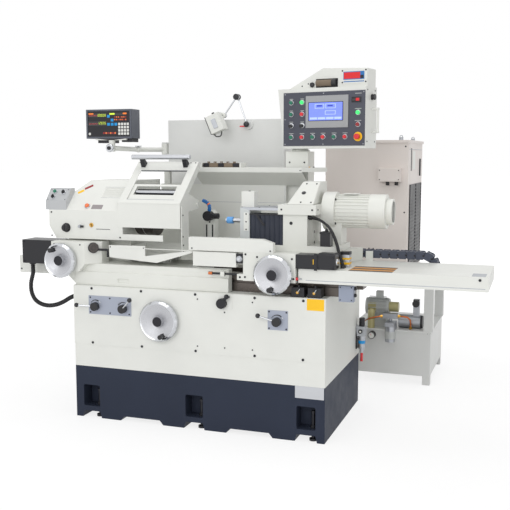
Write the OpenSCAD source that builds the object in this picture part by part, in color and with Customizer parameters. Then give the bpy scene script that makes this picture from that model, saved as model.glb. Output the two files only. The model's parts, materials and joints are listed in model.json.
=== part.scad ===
// Internal grinder: machine, pendant, readout, lamp, electrical cabinets and hydraulic unit.
// Millimetres. X runs along the table, Y to the rear, Z up.
// The origin is on the floor under the middle of the base.

/* [Base] */
// Length of the base along the table
base_w = 1500; // [1450:10:1560]
// Depth of the base from front to rear
base_d = 840; // [830:5:860]
// Height of the dark lower base
base_h = 305; // [295:5:320]
// Wall of the base and of the cabinet above it
base_wall = 30; // [25:1:36]
// Height of the white cabinet on the base
cabinet_h = 475; // [465:5:490]
// Width of a levelling pocket
pocket_w = 105; // [95:1:115]
// Height of a levelling pocket
pocket_h = 126; // [118:1:132]
// Distance from the middle pocket to an end pocket
pocket_pitch = 647; // [630:1:655]
// Radius of an anchor hole
anchor_r = 9; // [7:0.5:10]

/* [Bed and table] */
// Height of the bed under the workhead
bed_h = 125; // [120:1:130]
// Height of the two table ways
way_h = 93; // [90:1:96]
// Width of one table way
way_w = 100; // [90:1:104]
// Height of the table saddle
saddle_h = 132; // [128:1:136]
// Length of the table saddle
saddle_l = 590; // [580:5:600]
// Length of the sheet cover on the right of the table
cover_l = 961; // [900:1:980]
// Height of the cover's front skirt
cover_h = 74; // [60:1:78]
// Thickness of covers and guards in sheet steel
sheet_t = 3; // [2:0.5:4]

/* [Wheelhead] */
// Height of both spindle axes above the bed
spindle_rise = 255; // [250:1:260]
// Radius of the grinding wheel
wheel_r = 19; // [14:1:22]
// Length of the grinding wheel
wheel_l = 36; // [20:1:38]
// Radius of the wheel spindle in its bearings
spindle_r = 17; // [15:0.5:19]
// Radius of the pulley on the wheel spindle
small_pulley_r = 32; // [28:1:34]
// Radius of the pulley on the motor shaft
large_pulley_r = 62; // [56:1:64]
// Radius of the wheelhead motor's body
motor_r = 85; // [80:1:88]

/* [Workhead] */
// Radius of the work chuck
chuck_r = 100; // [90:1:104]
// Thickness of the work chuck
chuck_l = 110; // [100:1:112]
// Radius of the hole through the chuck
chuck_bore_r = 27.5; // [22:0.5:29]
// Radius of the work spindle
work_spindle_r = 30; // [29:0.5:34]

/* [Handwheels and levers] */
// Radius of the table handwheel
table_wheel_r = 115; // [100:1:118]
// Radius of the cross-feed handwheel
cross_wheel_r = 105; // [95:1:108]
// Radius of the workhead handwheel
work_wheel_r = 100; // [90:1:104]
// Radius of a handwheel shaft
hand_shaft_r = 12; // [10:0.5:13]
// Length of a control lever from hub to ball
lever_l = 100; // [80:1:110]

/* [Pendant and readout] */
// Width of the pendant's dark panel
pendant_w = 523; // [500:1:530]
// Height of the pendant's dark panel
pendant_h = 310; // [290:1:312]
// Depth of the pendant box
pendant_d = 160; // [150:1:170]
// Angle that the pendant is turned to the left of straight ahead
pendant_turn = 11.4; // [0:0.2:20]
// Width of the readout
readout_w = 322; // [300:1:330]
// Height of the readout
readout_h = 182; // [165:1:190]
// Depth of the readout
readout_d = 110; // [80:1:120]

/* [Cabinets and hydraulics] */
// Width of the rear electrical cabinet
rear_w = 795; // [780:5:800]
// Depth of the rear electrical cabinet
rear_d = 400; // [380:5:420]
// Height of the rear electrical cabinet
rear_h = 1749; // [1740:1:1760]
// Width of the drive cabinet on the frame
drive_w = 555; // [540:5:560]
// Depth of the drive cabinet on the frame
drive_d = 640; // [600:5:650]
// Height of the drive cabinet above its frame
drive_h = 932; // [920:2:940]
// Height of the top of the frame
frame_h = 690; // [680:2:700]
// Width of the hydraulic tank
tank_w = 540; // [530:5:550]
// Depth of the hydraulic tank
tank_d = 640; // [600:5:650]
// Height of the hydraulic tank's top
tank_top = 363; // [350:1:370]

/* [Hidden] */
$fn = 48;

// Gap between faces that slide or turn on each other
run_gap = 0.3;
// Radial clearance of a shaft in its bore
shaft_gap = 0.05;
// Overrun of every cut past the face it starts from
cut = 1;

white = [0.90, 0.90, 0.88];
dark_base = [0.22, 0.24, 0.29];
light_grey = [0.80, 0.81, 0.82];
plate_grey = [0.66, 0.68, 0.72];
beige = [0.84, 0.80, 0.77];
black = [0.10, 0.10, 0.11];
steel = [0.62, 0.62, 0.63];
dark_steel = [0.33, 0.32, 0.32];
copper = [0.76, 0.47, 0.30];

// Box between two corners, each argument being [low, high] along its axis
module block(x, y, z) {
    translate([x[0], y[0], z[0]]) cube([x[1] - x[0], y[1] - y[0], z[1] - z[0]]);
}
// Outline in Y and Z, extruded along X
module side_slab(x, outline) {
    translate([x[0], 0, 0]) rotate([90, 0, 90]) linear_extrude(x[1] - x[0]) polygon(outline);
}
// Outline in X and Z, extruded along Y
module front_slab(y, outline) {
    translate([0, y[1], 0]) rotate([90, 0, 0]) linear_extrude(y[1] - y[0]) polygon(outline);
}
// Outline in X and Y, extruded along Z
module plan_slab(z, outline) {
    translate([0, 0, z[0]]) linear_extrude(z[1] - z[0]) polygon(outline);
}
module rod_x(x, y, z, r) {
    translate([x[0], y, z]) rotate([0, 90, 0]) cylinder(h = x[1] - x[0], r = r);
}
module rod_y(x, y, z, r) {
    translate([x, y[1], z]) rotate([90, 0, 0]) cylinder(h = y[1] - y[0], r = r);
}
module rod_z(x, y, z, r) {
    translate([x, y, z[0]]) cylinder(h = z[1] - z[0], r = r);
}
// Round bar between two points
module strut(p, q, r) {
    v = q - p;
    translate(p) rotate([0, acos(v.z / norm(v)), atan2(v.y, v.x)]) cylinder(h = norm(v), r = r);
}
// Rectangle with round corners, drawn in the plane
module soft_rect(x, y, r) {
    translate([x[0] + r, y[0]]) square([x[1] - x[0] - 2 * r, y[1] - y[0]]);
    translate([x[0], y[0] + r]) square([x[1] - x[0], y[1] - y[0] - 2 * r]);
    for (i = [x[0] + r, x[1] - r], j = [y[0] + r, y[1] - r]) translate([i, j]) circle(r);
}
// Slab with round corners facing the front
module soft_front(y, x, z, r) {
    translate([0, y[1], 0]) rotate([90, 0, 0]) linear_extrude(y[1] - y[0]) soft_rect(x, z, r);
}

// Tube swept along points by rings of equal sides
function unit(v) = v / norm(v);
function heading(p, i) = unit(p[min(i + 1, len(p) - 1)] - p[max(i - 1, 0)]);
function ring(p, i, r, n, side) = let (t = heading(p, i), u = unit(cross(t, side)), w = cross(u, t))
    [for (k = [0 : n - 1]) p[i] + r * (cos(360 * k / n) * u + sin(360 * k / n) * w)];
module tube(p, r, n, side) {
    m = len(p);
    rings = [for (i = [0 : m - 1], q = ring(p, i, r, n, side)) q];
    walls = [for (i = [0 : m - 2], k = [0 : n - 1]) let (a = i * n + k, b = i * n + (k + 1) % n)
        each [[a, b, b + n], [a, b + n, a + n]]];
    caps = concat([for (k = [1 : n - 2]) [0, k + 1, k]],
        [for (k = [1 : n - 2]) [(m - 1) * n, (m - 1) * n + k, (m - 1) * n + k + 1]]);
    polyhedron(points = rings, faces = concat(walls, caps));
}

// Levels and faces shared by the pieces
front_y = -base_d / 2;
rear_y = base_d / 2;
bed_z = base_h + cabinet_h;
bed_top = bed_z + bed_h;
way_top = bed_z + way_h;
saddle_z = way_top + run_gap;
saddle_top = saddle_z + saddle_h;
slide_z = saddle_top + run_gap;
spindle_z = bed_top + spindle_rise;
spindle_y = -200;

// Base casting
arch_h = 38;
slab_t = 30;
pocket_z = arch_h + slab_t;
pocket_depth = 92;
pocket_skin = 12;
pocket_corner = 9;
foot_depth = 150;
arch_low_w = 124;
arch_top_w = 104;
fork_h = 26;
fork_x = 326;
fork_low_w = 270;
fork_top_w = 226;
rib_w = 80;
bolt_offset = 30;
bolt_inset = 45;
bolt_r = 10;
bolt_hole_r = 11;
pocket_xs = [-pocket_pitch, 0, pocket_pitch];
function trapezoid(c, low, top, h) = [[c - low / 2, -cut], [c + low / 2, -cut],
    [c + low / 2, 0], [c + top / 2, h], [c - top / 2, h], [c - low / 2, 0]];
module base_casting() color(dark_base) difference() {
    union() {
        difference() {
            block([-base_w / 2, base_w / 2], [front_y, rear_y], [0, base_h]);
            block([-base_w / 2 + base_wall, base_w / 2 - base_wall],
                [front_y + base_wall, rear_y - base_wall], [pocket_z, base_h + cut]);
        }
        for (m = [0, 1], x = pocket_xs) mirror([0, m, 0])
            block([x - pocket_w / 2 - pocket_skin, x + pocket_w / 2 + pocket_skin],
                [front_y + base_wall / 2, front_y + pocket_depth + pocket_skin],
                [pocket_z - slab_t / 2, pocket_z + pocket_h + pocket_skin]);
    }
    for (m = [0, 1]) mirror([0, m, 0]) {
        for (x = pocket_xs) {
            soft_front([front_y - cut, front_y + pocket_depth],
                [x - pocket_w / 2, x + pocket_w / 2], [pocket_z, pocket_z + pocket_h], pocket_corner);
            front_slab([front_y - cut, front_y + foot_depth],
                trapezoid(x, arch_low_w, arch_top_w, arch_h));
            rod_z(x, front_y + bolt_inset, [0, pocket_z + cut], anchor_r);
            rod_z(x + bolt_offset, front_y + bolt_inset, [0, pocket_z + cut], bolt_hole_r);
        }
        for (x = [-fork_x, fork_x]) front_slab([front_y - cut, front_y + foot_depth],
            trapezoid(x, fork_low_w, fork_top_w, fork_h));
        block([-base_w / 2 + foot_depth, base_w / 2 - foot_depth],
            [rib_w / 2, rear_y - foot_depth], [-cut, arch_h]);
    }
}

// Levelling bolts
pad_r = 22;
pad_h = 12;
bolt_top = 150;
nut_r = 17;
nut_h = 16;
head_r = 13;
head_h = 14;
module levelling_bolts() color(black) for (m = [0, 1], x = pocket_xs) mirror([0, m, 0])
    translate([x + bolt_offset, front_y + bolt_inset, 0]) {
        cylinder(h = pad_h, r = pad_r);
        cylinder(h = bolt_top, r = bolt_r);
        translate([0, 0, pocket_z]) cylinder(h = nut_h, r = nut_r, $fn = 6);
        translate([0, 0, bolt_top]) cylinder(h = head_h, r = head_r, $fn = 6);
    }

// White cabinet on the base
module bed_cabinet() color(white) difference() {
    block([-base_w / 2, base_w / 2], [front_y, rear_y], [base_h, bed_z]);
    block([-base_w / 2 + base_wall, base_w / 2 - base_wall],
        [front_y + base_wall, rear_y - base_wall], [base_h - cut, bed_z - base_wall]);
    rod_y(table_wheel_x, [front_y - cut, front_y + base_wall + cut], table_wheel_z,
        hand_shaft_r + shaft_gap);
    for (p = lever_hubs) rod_y(p.x, [front_y - cut, front_y + base_wall + cut], p.y,
        lever_shaft_r + shaft_gap);
}

// Screwed front panel
panel_t = 4;
panel_drop = 343;
panel_gap = 3;
screw_r = 7;
screw_h = 3;
screw_inset = 12;
panel_y = front_y - panel_t;
panel_screw_shares = [-0.42, -0.21, 0.01, 0.24, 0.42];
module front_panel() color(white) {
    difference() {
        block([-base_w / 2, base_w / 2], [panel_y, front_y], [bed_z - panel_drop, bed_z - panel_gap]);
        rod_y(table_wheel_x, [panel_y - cut, front_y + cut], table_wheel_z, hand_shaft_r + panel_gap);
        for (p = lever_hubs)
            rod_y(p.x, [panel_y - cut, front_y + cut], p.y, lever_shaft_r + panel_gap);
    }
    for (s = panel_screw_shares, z = [bed_z - panel_gap - screw_inset, bed_z - panel_drop + screw_inset])
        rod_y(s * base_w, [panel_y - screw_h, panel_y], z, screw_r);
}

// Bed casting: a high seat for the workhead, an apron, and a bracket past the left end
apron_x1 = 200;
apron_d = 60;
apron_step = 8;
apron_step_h = 78;
seat_x1 = -20;
bed_inset = 20;
bed_wall = 28;
bracket_w = 55;
bracket_h = 75;
notch_w = 70;
notch_h = 22;
notch_x = -404;
module bed_casting() color(white) difference() {
    union() {
        block([-base_w / 2, seat_x1], [front_y + bed_inset + apron_step, rear_y - bed_inset],
            [bed_z, bed_top]);
        block([-base_w / 2, apron_x1], [front_y + bed_inset, front_y + bed_inset + apron_d],
            [bed_z, bed_z + apron_step_h]);
        block([-base_w / 2, apron_x1],
            [front_y + bed_inset + apron_step, front_y + bed_inset + apron_d],
            [bed_z + apron_step_h, bed_top]);
        front_slab([front_y + bed_inset + apron_step, rear_y - bed_inset - apron_d],
            [[-base_w / 2 - bracket_w, bed_top], [-base_w / 2 - bracket_w, bed_top - bracket_h],
            [-base_w / 2, bed_z], [-base_w / 2, bed_top]]);
    }
    block([-base_w / 2 + bed_wall, seat_x1 - bed_wall],
        [front_y + bed_inset + apron_d, rear_y - bed_inset - bed_wall], [bed_z - cut, bed_top - bed_wall]);
    block([notch_x - notch_w, notch_x], [front_y, front_y + bed_inset + apron_step],
        [bed_z + notch_h, bed_z + notch_h + notch_h]);
}

// Two table ways
way_x0 = seat_x1;
way_x1 = 870;
way_groove = 12;
way_groove_h = 15;
front_way_y = -330;
rear_way_y = -60;
module way(y) {
    side_slab([way_x0, way_x1], [[y, bed_z], [y + way_w, bed_z], [y + way_w, way_top], [y, way_top],
        [y, way_top - 2 * way_groove_h], [y + way_groove, way_top - 2 * way_groove_h],
        [y + way_groove, way_top - 3 * way_groove_h], [y, way_top - 3 * way_groove_h]]);
}
module table_ways() color(dark_steel) {
    way(front_way_y);
    way(rear_way_y);
}

// Grey lever plates and two blank plates
plate_t = 3;
left_plate_x = [-650, -378];
left_plate_z = [617, 724];
right_plate_x = [434, 546];
right_plate_z = [599, 705];
yellow_x = [649, 742];
yellow_drop = 61;
rating_x = [586, 745];
rating_h = 66;
blank_t = 1;
module lever_plate(x, z) difference() {
    block(x, [panel_y - plate_t, panel_y], z);
    for (p = lever_hubs)
        rod_y(p.x, [panel_y - plate_t - cut, panel_y + cut], p.y, lever_shaft_r + panel_gap);
}
module control_plates() {
    color(plate_grey) lever_plate(left_plate_x, left_plate_z);
    color(plate_grey) lever_plate(right_plate_x, right_plate_z);
    color("gold") block(yellow_x, [panel_y - blank_t, panel_y],
        [bed_z - panel_gap - yellow_drop, bed_z - panel_gap]);
    color("silver") block(rating_x, [front_y - blank_t, front_y], [base_h - rating_h, base_h]);
}

// Control levers
lever_hubs = [[-604, 663], [-427, 659], [174, 726], [487, 645]];
lever_shaft_r = 9;
lever_hub_r = 24;
lever_hub_l = 26;
lever_rod_r = 5;
lever_ball_r = 13;
lever_lean = 18;
// Hub, shaft, rod and ball; the rod points at an angle up from +X in the front's plane
module lever(hub, back_y, angle, lean) {
    tip = [hub.x + lever_l * cos(angle), back_y - lever_hub_l - lean, hub.y + lever_l * sin(angle)];
    rod_y(hub.x, [back_y - lever_hub_l, back_y - run_gap], hub.y, lever_hub_r);
    rod_y(hub.x, [back_y - lever_hub_l / 2, front_y + base_wall], hub.y, lever_shaft_r);
    strut([hub.x, back_y - lever_hub_l / 2, hub.y], tip, lever_rod_r);
    translate(tip) rotate([0, 0, -90]) sphere(lever_ball_r);
}
module left_lever() color(black) lever(lever_hubs[0], panel_y - plate_t, 175, lever_lean);
second_lean = 45;
module second_lever() color(black) lever(lever_hubs[1], panel_y - plate_t, 40, second_lean);
module right_lever() color(black) lever(lever_hubs[3], panel_y - plate_t, 160, lever_lean);
reverse_disc_r = 27;
reverse_arm_r = 9;
reverse_fork_r = 6;
reverse_tip = [33, -10, 40];
reverse_fork = [[31, -10, 50], [50, -10, 40]];
module reverse_lever() color(black) {
    hub = [lever_hubs[2].x, panel_y - run_gap, lever_hubs[2].y];
    rod_y(hub.x, [hub.y - lever_hub_l, hub.y], hub.z, reverse_disc_r);
    rod_y(hub.x, [hub.y, front_y + base_wall], hub.z, lever_shaft_r);
    strut(hub - [0, lever_hub_l / 2, 0], hub + reverse_tip - [0, lever_hub_l / 2, 0], reverse_arm_r);
    translate(hub + reverse_tip - [0, lever_hub_l / 2, 0]) sphere(reverse_disc_r / 2);
    for (tip = reverse_fork) strut(hub + reverse_tip - [0, lever_hub_l / 2, 0],
        hub + tip - [0, lever_hub_l / 2, 0], reverse_fork_r);
}

// Handwheels, drawn about +Z towards the operator and turned to face the front
rim_t = 22;
rim_w = 20;
web_t = 8;
hub_r = 28;
hub_l = 40;
knob_r = 13;
knob_l = 30;
knob_inset = 30;
knob_neck_r = 6;
module handwheel(r, shaft_l, knob_angle) rotate([90, 0, 0]) {
    rotate_extrude($fn = 64) polygon([[0, 0], [hub_r, 0], [hub_r, web_t], [r - rim_t, rim_w],
        [r - rim_t / 2, 0], [r, rim_w / 2], [r, rim_w + web_t], [r - rim_t / 2, rim_w + rim_t],
        [r - rim_t, rim_w + web_t + web_t], [hub_r, 2 * web_t], [hub_r, hub_l], [0, hub_l]]);
    translate([0, 0, -shaft_l]) cylinder(h = shaft_l, r = hand_shaft_r);
    rotate([0, 0, knob_angle]) translate([r - knob_inset, 0, web_t]) {
        cylinder(h = hub_l - web_t, r = knob_neck_r);
        translate([0, 0, hub_l - web_t]) cylinder(h = knob_l, r = knob_r);
    }
}
table_wheel_x = -197;
table_wheel_z = 606;
wheel_stand = 6;
module table_handwheel() color(steel)
    translate([table_wheel_x, panel_y - wheel_stand, table_wheel_z])
    handwheel(table_wheel_r, wheel_stand + panel_t + base_wall, -70);

cross_wheel_x = 473;
cross_wheel_z = 900;
plate_front_y = -440;
plate_d = 38;
module cross_handwheel() color(steel)
    translate([cross_wheel_x, plate_front_y - wheel_stand, cross_wheel_z])
    handwheel(cross_wheel_r, wheel_stand + plate_d, -94);

work_wheel_x = -808;
work_wheel_z = 924;
module workhead_handwheel() color(steel)
    translate([work_wheel_x, plate_front_y - wheel_stand, work_wheel_z])
    handwheel(work_wheel_r, wheel_stand + feed_d, 120);

// Housing of the workhead feed, over the front left corner of the bed
feed_x = [-880, -590];
feed_corner = 72;
feed_top = 1030;
feed_d = 152;
feed_low = 862;
feed_low_x = [-820, -700];
bed_face_y = front_y + bed_inset + apron_step;
cap_z = 997;
cap_r = 30;
cap_h = 10;
hook_y = [-395, -383];
hook_z = [946, 980, 992];
hook_x1 = -532;
module feed_housing() color(white) difference() {
    union() {
        plan_slab([bed_top, feed_top], [[feed_x[0], plate_front_y],
            [feed_x[1] - feed_corner, plate_front_y], [feed_x[1], plate_front_y + feed_corner],
            [feed_x[1], plate_front_y + feed_d], [feed_x[0], plate_front_y + feed_d]]);
        front_slab([plate_front_y, bed_face_y], [[feed_low_x[0], feed_low], [feed_low_x[1], feed_low],
            [feed_x[1] - feed_corner, bed_top], [feed_x[0], bed_top]]);
        translate([feed_x[1] - feed_corner / 2, plate_front_y + feed_corner / 2, cap_z])
            rotate([90, 0, 45]) translate([0, 0, -cap_h]) cylinder(h = 2 * cap_h, r = cap_r);
        block([feed_x[1] - feed_corner / 2, hook_x1], hook_y, [hook_z[1], hook_z[2]]);
        block([hook_x1 + hook_y[0] - hook_y[1], hook_x1], hook_y, [hook_z[0], hook_z[2]]);
    }
    rod_y(work_wheel_x, [plate_front_y - cut, plate_front_y + feed_d + cut], work_wheel_z,
        hand_shaft_r + shaft_gap);
}

// Feed motor box on a bracket plate, and the conduit from it to the cabinet
motor_box_l = 225;
motor_box_y = [-400, -262];
motor_box_z = [890, 1029];
bracket_t = 6;
bracket_plate_z = [811, 916];
bracket_plate_x0 = -1223;
gland_r = 20;
gland_l = 14;
gland_y = -330;
gland_x = -1083;
module feed_motor() {
    color(black) block([feed_x[0] - motor_box_l, feed_x[0]], motor_box_y, motor_box_z);
    color(white) block([bracket_plate_x0, -base_w / 2 - bracket_w],
        [motor_box_y[1], motor_box_y[1] + bracket_t], bracket_plate_z);
    color(black) rod_z(gland_x, gland_y, [motor_box_z[0] - gland_l, motor_box_z[0]], gland_r);
    color(black) rod_x([-base_w / 2 - gland_l, -base_w / 2], gland_y, conduit_end_z, gland_r);
}
conduit_r = 13;
conduit_end_z = 700;
conduit_mid = [[-1084, 820], [-1100, 760], [-1098, 705], [-1075, 660], [-1035, 636], [-985, 628],
    [-930, 636], [-880, 656], [-835, 682], [-800, 697]];
conduit_route = concat([[gland_x, gland_y, motor_box_z[0] - gland_l], [gland_x, gland_y, 850]],
    [for (p = conduit_mid) [p.x, gland_y, p.y]],
    [[-780, gland_y, conduit_end_z], [-base_w / 2 - gland_l, gland_y, conduit_end_z]]);
module conduit() color(black) tube(conduit_route, conduit_r, 12, [0, 1, 0]);

// Rear electrical cabinet with a door at the back
rear_x0 = -540;
rear_cab_y = rear_y + bed_inset;
cab_t = 12;
plinth_h = 100;
plinth_inset = 30;
door_t = 22;
door_gap = 2;
hinge_r = 7;
hinge_bore_r = 4;
hinge_l = 70;
hinge_shares = [0.16, 0.84];
rear_door_y = rear_cab_y + rear_d;
hinge_x = rear_x0 - hinge_r;
hinge_y = rear_door_y + door_t / 2;
spacer_x = [-500, 100];
spacer_z = [330, 640];
module rear_cabinet() color(light_grey) {
    difference() {
        block([rear_x0, rear_x0 + rear_w], [rear_cab_y, rear_door_y], [plinth_h, rear_h]);
        block([rear_x0 + cab_t, rear_x0 + rear_w - cab_t], [rear_cab_y + cab_t, rear_door_y + cut],
            [plinth_h + cab_t, rear_h - cab_t]);
    }
    block([rear_x0 + plinth_inset, rear_x0 + rear_w - plinth_inset],
        [rear_cab_y + plinth_inset, rear_door_y - plinth_inset], [0, plinth_h]);
    for (s = hinge_shares) translate([hinge_x, hinge_y, s * rear_h - hinge_l]) {
        cylinder(h = hinge_l, r = hinge_r);
        cylinder(h = 2 * hinge_l - door_gap, r = hinge_bore_r);
        translate([0, -door_t, 0]) cube([hinge_r, door_t, hinge_l]);
    }
    for (x = spacer_x, z = spacer_z)
        block([x, x + plinth_h], [rear_y, rear_cab_y], [z, z + plinth_h]);
    for (z = [dro_post_z[0] - run_gap - dro_bracket_t, dro_post_z[1] + run_gap])
        block([dro_post_x - dro_post_r, rear_x0], [dro_post_y - dro_post_r, dro_post_y + dro_post_r],
            [z, z + dro_bracket_t]);
    rod_z(dro_post_x, dro_post_y, [dro_post_z[0] - dro_bracket_t, dro_post_z[1] + dro_bracket_t],
        dro_pin_r);
    rod_y(lamp_base.x, [rear_cab_y - lamp_plate, rear_cab_y], lamp_base.z, 2 * lamp_joint_r);
    rod_y(lamp_base.x, [lamp_base.y - lamp_joint_l / 2, rear_cab_y], lamp_base.z, lamp_pin_r);
}
latch_r = 14;
latch_l = 26;
latch_w = 16;
latch_h = 90;
module cabinet_door() color(light_grey) difference() {
    union() {
        block([rear_x0 + door_gap, rear_x0 + rear_w - door_gap],
            [rear_door_y + door_gap, rear_door_y + door_t], [plinth_h + door_gap, rear_h - door_gap]);
        for (s = hinge_shares) translate([hinge_x, hinge_y, s * rear_h + door_gap / 2]) {
            cylinder(h = hinge_l - door_gap, r = hinge_r);
            translate([0, -hinge_bore_r, 0])
                cube([hinge_r + 2 * door_gap, 2 * hinge_bore_r, hinge_l - door_gap]);
        }
        translate([rear_x0 + rear_w - 2 * plinth_inset, rear_door_y + door_t, rear_h / 2]) {
            rotate([-90, 0, 0]) cylinder(h = latch_l, r = latch_r);
            translate([-latch_w / 2, latch_l - latch_w, -latch_h])
                cube([latch_w, latch_w, latch_h]);
        }
    }
    for (s = hinge_shares) rod_z(hinge_x, hinge_y,
        [s * rear_h - hinge_l, s * rear_h + 2 * hinge_l], hinge_bore_r + shaft_gap);
}

// Splash guard: back wall, canopy, shelf, posts, tool rack and the cable chain's tray
wall_y = 240;
wall_x = [-500, 330];
wall_top = 1345;
shelf_y = 100;
shelf_rear_y = 270;
shelf_z = 1425;
shelf_h = 25;
shelf_x0 = -450;
shelf_front_x1 = 467;
shelf_rear_x1 = 575;
canopy_x0 = -215;
post_w = 40;
rack_x = [-165, 70];
rack_y = [130, 205];
rack_h = 26;
spare_r = 9;
spare_pitch = 42;
spare_count = 5;
chain_tray_x = [450, 1250];
chain_tray_y = [56, 144];
chain_tray_z = 817;
module shelf() difference() {
    plan_slab([shelf_z, shelf_z + shelf_h], [[shelf_x0, shelf_y], [shelf_front_x1, shelf_y],
        [shelf_rear_x1, wall_y], [shelf_rear_x1, shelf_rear_y], [shelf_x0, shelf_rear_y]]);
    plan_slab([shelf_z - cut, shelf_z + shelf_h - sheet_t],
        [[shelf_x0 + sheet_t, shelf_y + sheet_t], [shelf_front_x1 - sheet_t, shelf_y + sheet_t],
        [shelf_rear_x1 - sheet_t, wall_y + sheet_t], [shelf_x0 + sheet_t, wall_y + sheet_t]]);
}
module splash_guard() color(white) {
    front_slab([wall_y, wall_y + sheet_t], [[wall_x[0], bed_top], [seat_x1, bed_top],
        [seat_x1, bed_z], [wall_x[1], bed_z], [wall_x[1], wall_top], [wall_x[0], wall_top]]);
    side_slab([canopy_x0, shelf_front_x1], [[shelf_y, shelf_z - sheet_t], [shelf_y, shelf_z],
        [shelf_y + 2 * sheet_t, shelf_z], [wall_y + sheet_t, wall_top], [wall_y, wall_top - sheet_t]]);
    shelf();
    for (x = [wall_x[0] + bed_inset, wall_x[1] - bed_inset - post_w])
        block([x, x + post_w], [wall_y + sheet_t, shelf_rear_y],
            [x < seat_x1 ? bed_top : bed_z, shelf_z]);
    block(rack_x, rack_y, [shelf_z + shelf_h, shelf_z + shelf_h + rack_h]);
    for (i = [0 : spare_count - 1])
        rod_z(rack_x[0] + spare_pitch / 2 + i * spare_pitch, (rack_y[0] + rack_y[1]) / 2,
            [shelf_z + shelf_h + rack_h, shelf_z + shelf_h + rack_h + spare_r], spare_r);
    block(chain_tray_x, chain_tray_y, [chain_tray_z - sheet_t, chain_tray_z]);
    block([chain_tray_x[0], base_w / 2], [chain_tray_y[0] + post_w / 2, chain_tray_y[1] - post_w / 2],
        [bed_z, chain_tray_z - sheet_t]);
}

// Pendant column behind the guard
column_x = 386;
column_y = 346;
column_w = 140;
column_flange = 10;
swivel_z = 1562;
swivel_r = 50;
swivel_h = 16;
swivel_pin_r = 20;
column_top = swivel_z - swivel_h;
module pendant_column() color(white) {
    block([column_x - column_w / 2, column_x + column_w / 2],
        [column_y - column_w / 2, column_y + column_w / 2], [bed_z, column_top]);
    rod_z(column_x, column_y, [column_top, swivel_z - run_gap], swivel_r);
    rod_z(column_x, column_y, [column_top, swivel_z + swivel_h], swivel_pin_r);
}

// Pendant box, turned about its column; its own frame has the swivel axis at zero
face_y = -135;
back_y = face_y + pendant_d;
face_x0 = -41;
face_z0 = 1577;
rim_top = 23;
rim_low = 13;
rim_left = 40;
face_t = 4;
box_wall = 3;
hood_x = [-16, 204, 482];
hood_z = [2022, 2010];
hood_y = [-115, 5];
grip_r = 7;
grip_out = 34;
grip_z = [1655, 1785];
grip_y = -35;
estop_x = 439;
estop_z = 51;
button_bore_r = 8;
estop_r = 16;
module pendant_frame() translate([column_x, column_y, 0]) rotate([0, 0, -pendant_turn]) children();
box_x1 = face_x0 + pendant_w;
box_top = face_z0 + pendant_h + rim_top;
module pendant_box() pendant_frame() {
    color(white) difference() {
        front_slab([face_y, back_y], [[face_x0, swivel_z], [box_x1, swivel_z], [box_x1, box_top],
            [face_x0 - rim_left, box_top]]);
        block([face_x0 + box_wall, box_x1 - box_wall], [face_y + box_wall, back_y - box_wall],
            [swivel_z + box_wall + swivel_h, box_top - box_wall]);
        rod_z(0, 0, [swivel_z - cut, swivel_z + swivel_h + box_wall + cut], swivel_pin_r + shaft_gap);
        rod_y(estop_x, [face_y - cut, 0], face_z0 + estop_z, button_bore_r + run_gap);
        for (p = button_places)
            rod_y(p.x, [face_y - cut, 0], p.y, button_bore_r + run_gap);
    }
    color(dark_base) difference() {
        block([face_x0, box_x1], [face_y - face_t, face_y], [face_z0, face_z0 + pendant_h]);
        rod_y(estop_x, [face_y - face_t - cut, face_y + cut], face_z0 + estop_z, button_bore_r + run_gap);
        for (p = button_places)
            rod_y(p.x, [face_y - face_t - cut, face_y + cut], p.y, button_bore_r + run_gap);
    }
    color(black) for (s = [0, 1]) rod_y(face_x0 + button_x_shares[s] * pendant_w,
        [face_y - face_t - 2 * button_h, face_y - face_t], face_z0 + selector_share * pendant_h,
        button_r);
    color(white) front_slab(hood_y, [[hood_x[0], box_top], [hood_x[1], hood_z[0]],
        [hood_x[2], hood_z[1]], [hood_x[2], box_top]]);
    color(light_grey) {
        rod_z(box_x1 + grip_out, grip_y, grip_z, grip_r);
        for (z = grip_z) rod_x([box_x1, box_x1 + grip_out + grip_r], grip_y, z, grip_r);
    }
}
// Buttons: places across and up the panel are shares of its width and height
button_x_shares = [0.1, 0.237, 0.371, 0.5, 0.633, 0.766];
button_top_shares = [0.815, 0.595];
selector_share = 0.375;
button_low_share = 0.165;
lamp_x_share = 0.917;
lamp_shares = [0.6, 0.385];
button_places = concat(
    [for (s = [0, 1], t = button_top_shares)
        [face_x0 + button_x_shares[s] * pendant_w, face_z0 + t * pendant_h]],
    [for (s = button_x_shares) [face_x0 + s * pendant_w, face_z0 + button_low_share * pendant_h]],
    [for (t = lamp_shares) [face_x0 + lamp_x_share * pendant_w, face_z0 + t * pendant_h]]);
button_r = 11;
button_h = 9;
button_travel = 4;
button_stem_l = 20;
module push_button(x, z, r, h) {
    rod_y(x, [face_y - face_t - button_travel - h, face_y - face_t - button_travel], z, r);
    rod_y(x, [face_y - face_t - button_travel, face_y + button_stem_l], z, button_bore_r);
}
module push_buttons() color("green") pendant_frame()
    for (p = button_places) push_button(p.x, p.y, button_r, button_h);
estop_h = 22;
module estop_button() color("red") pendant_frame()
    push_button(estop_x, face_z0 + estop_z, estop_r, estop_h);

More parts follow.
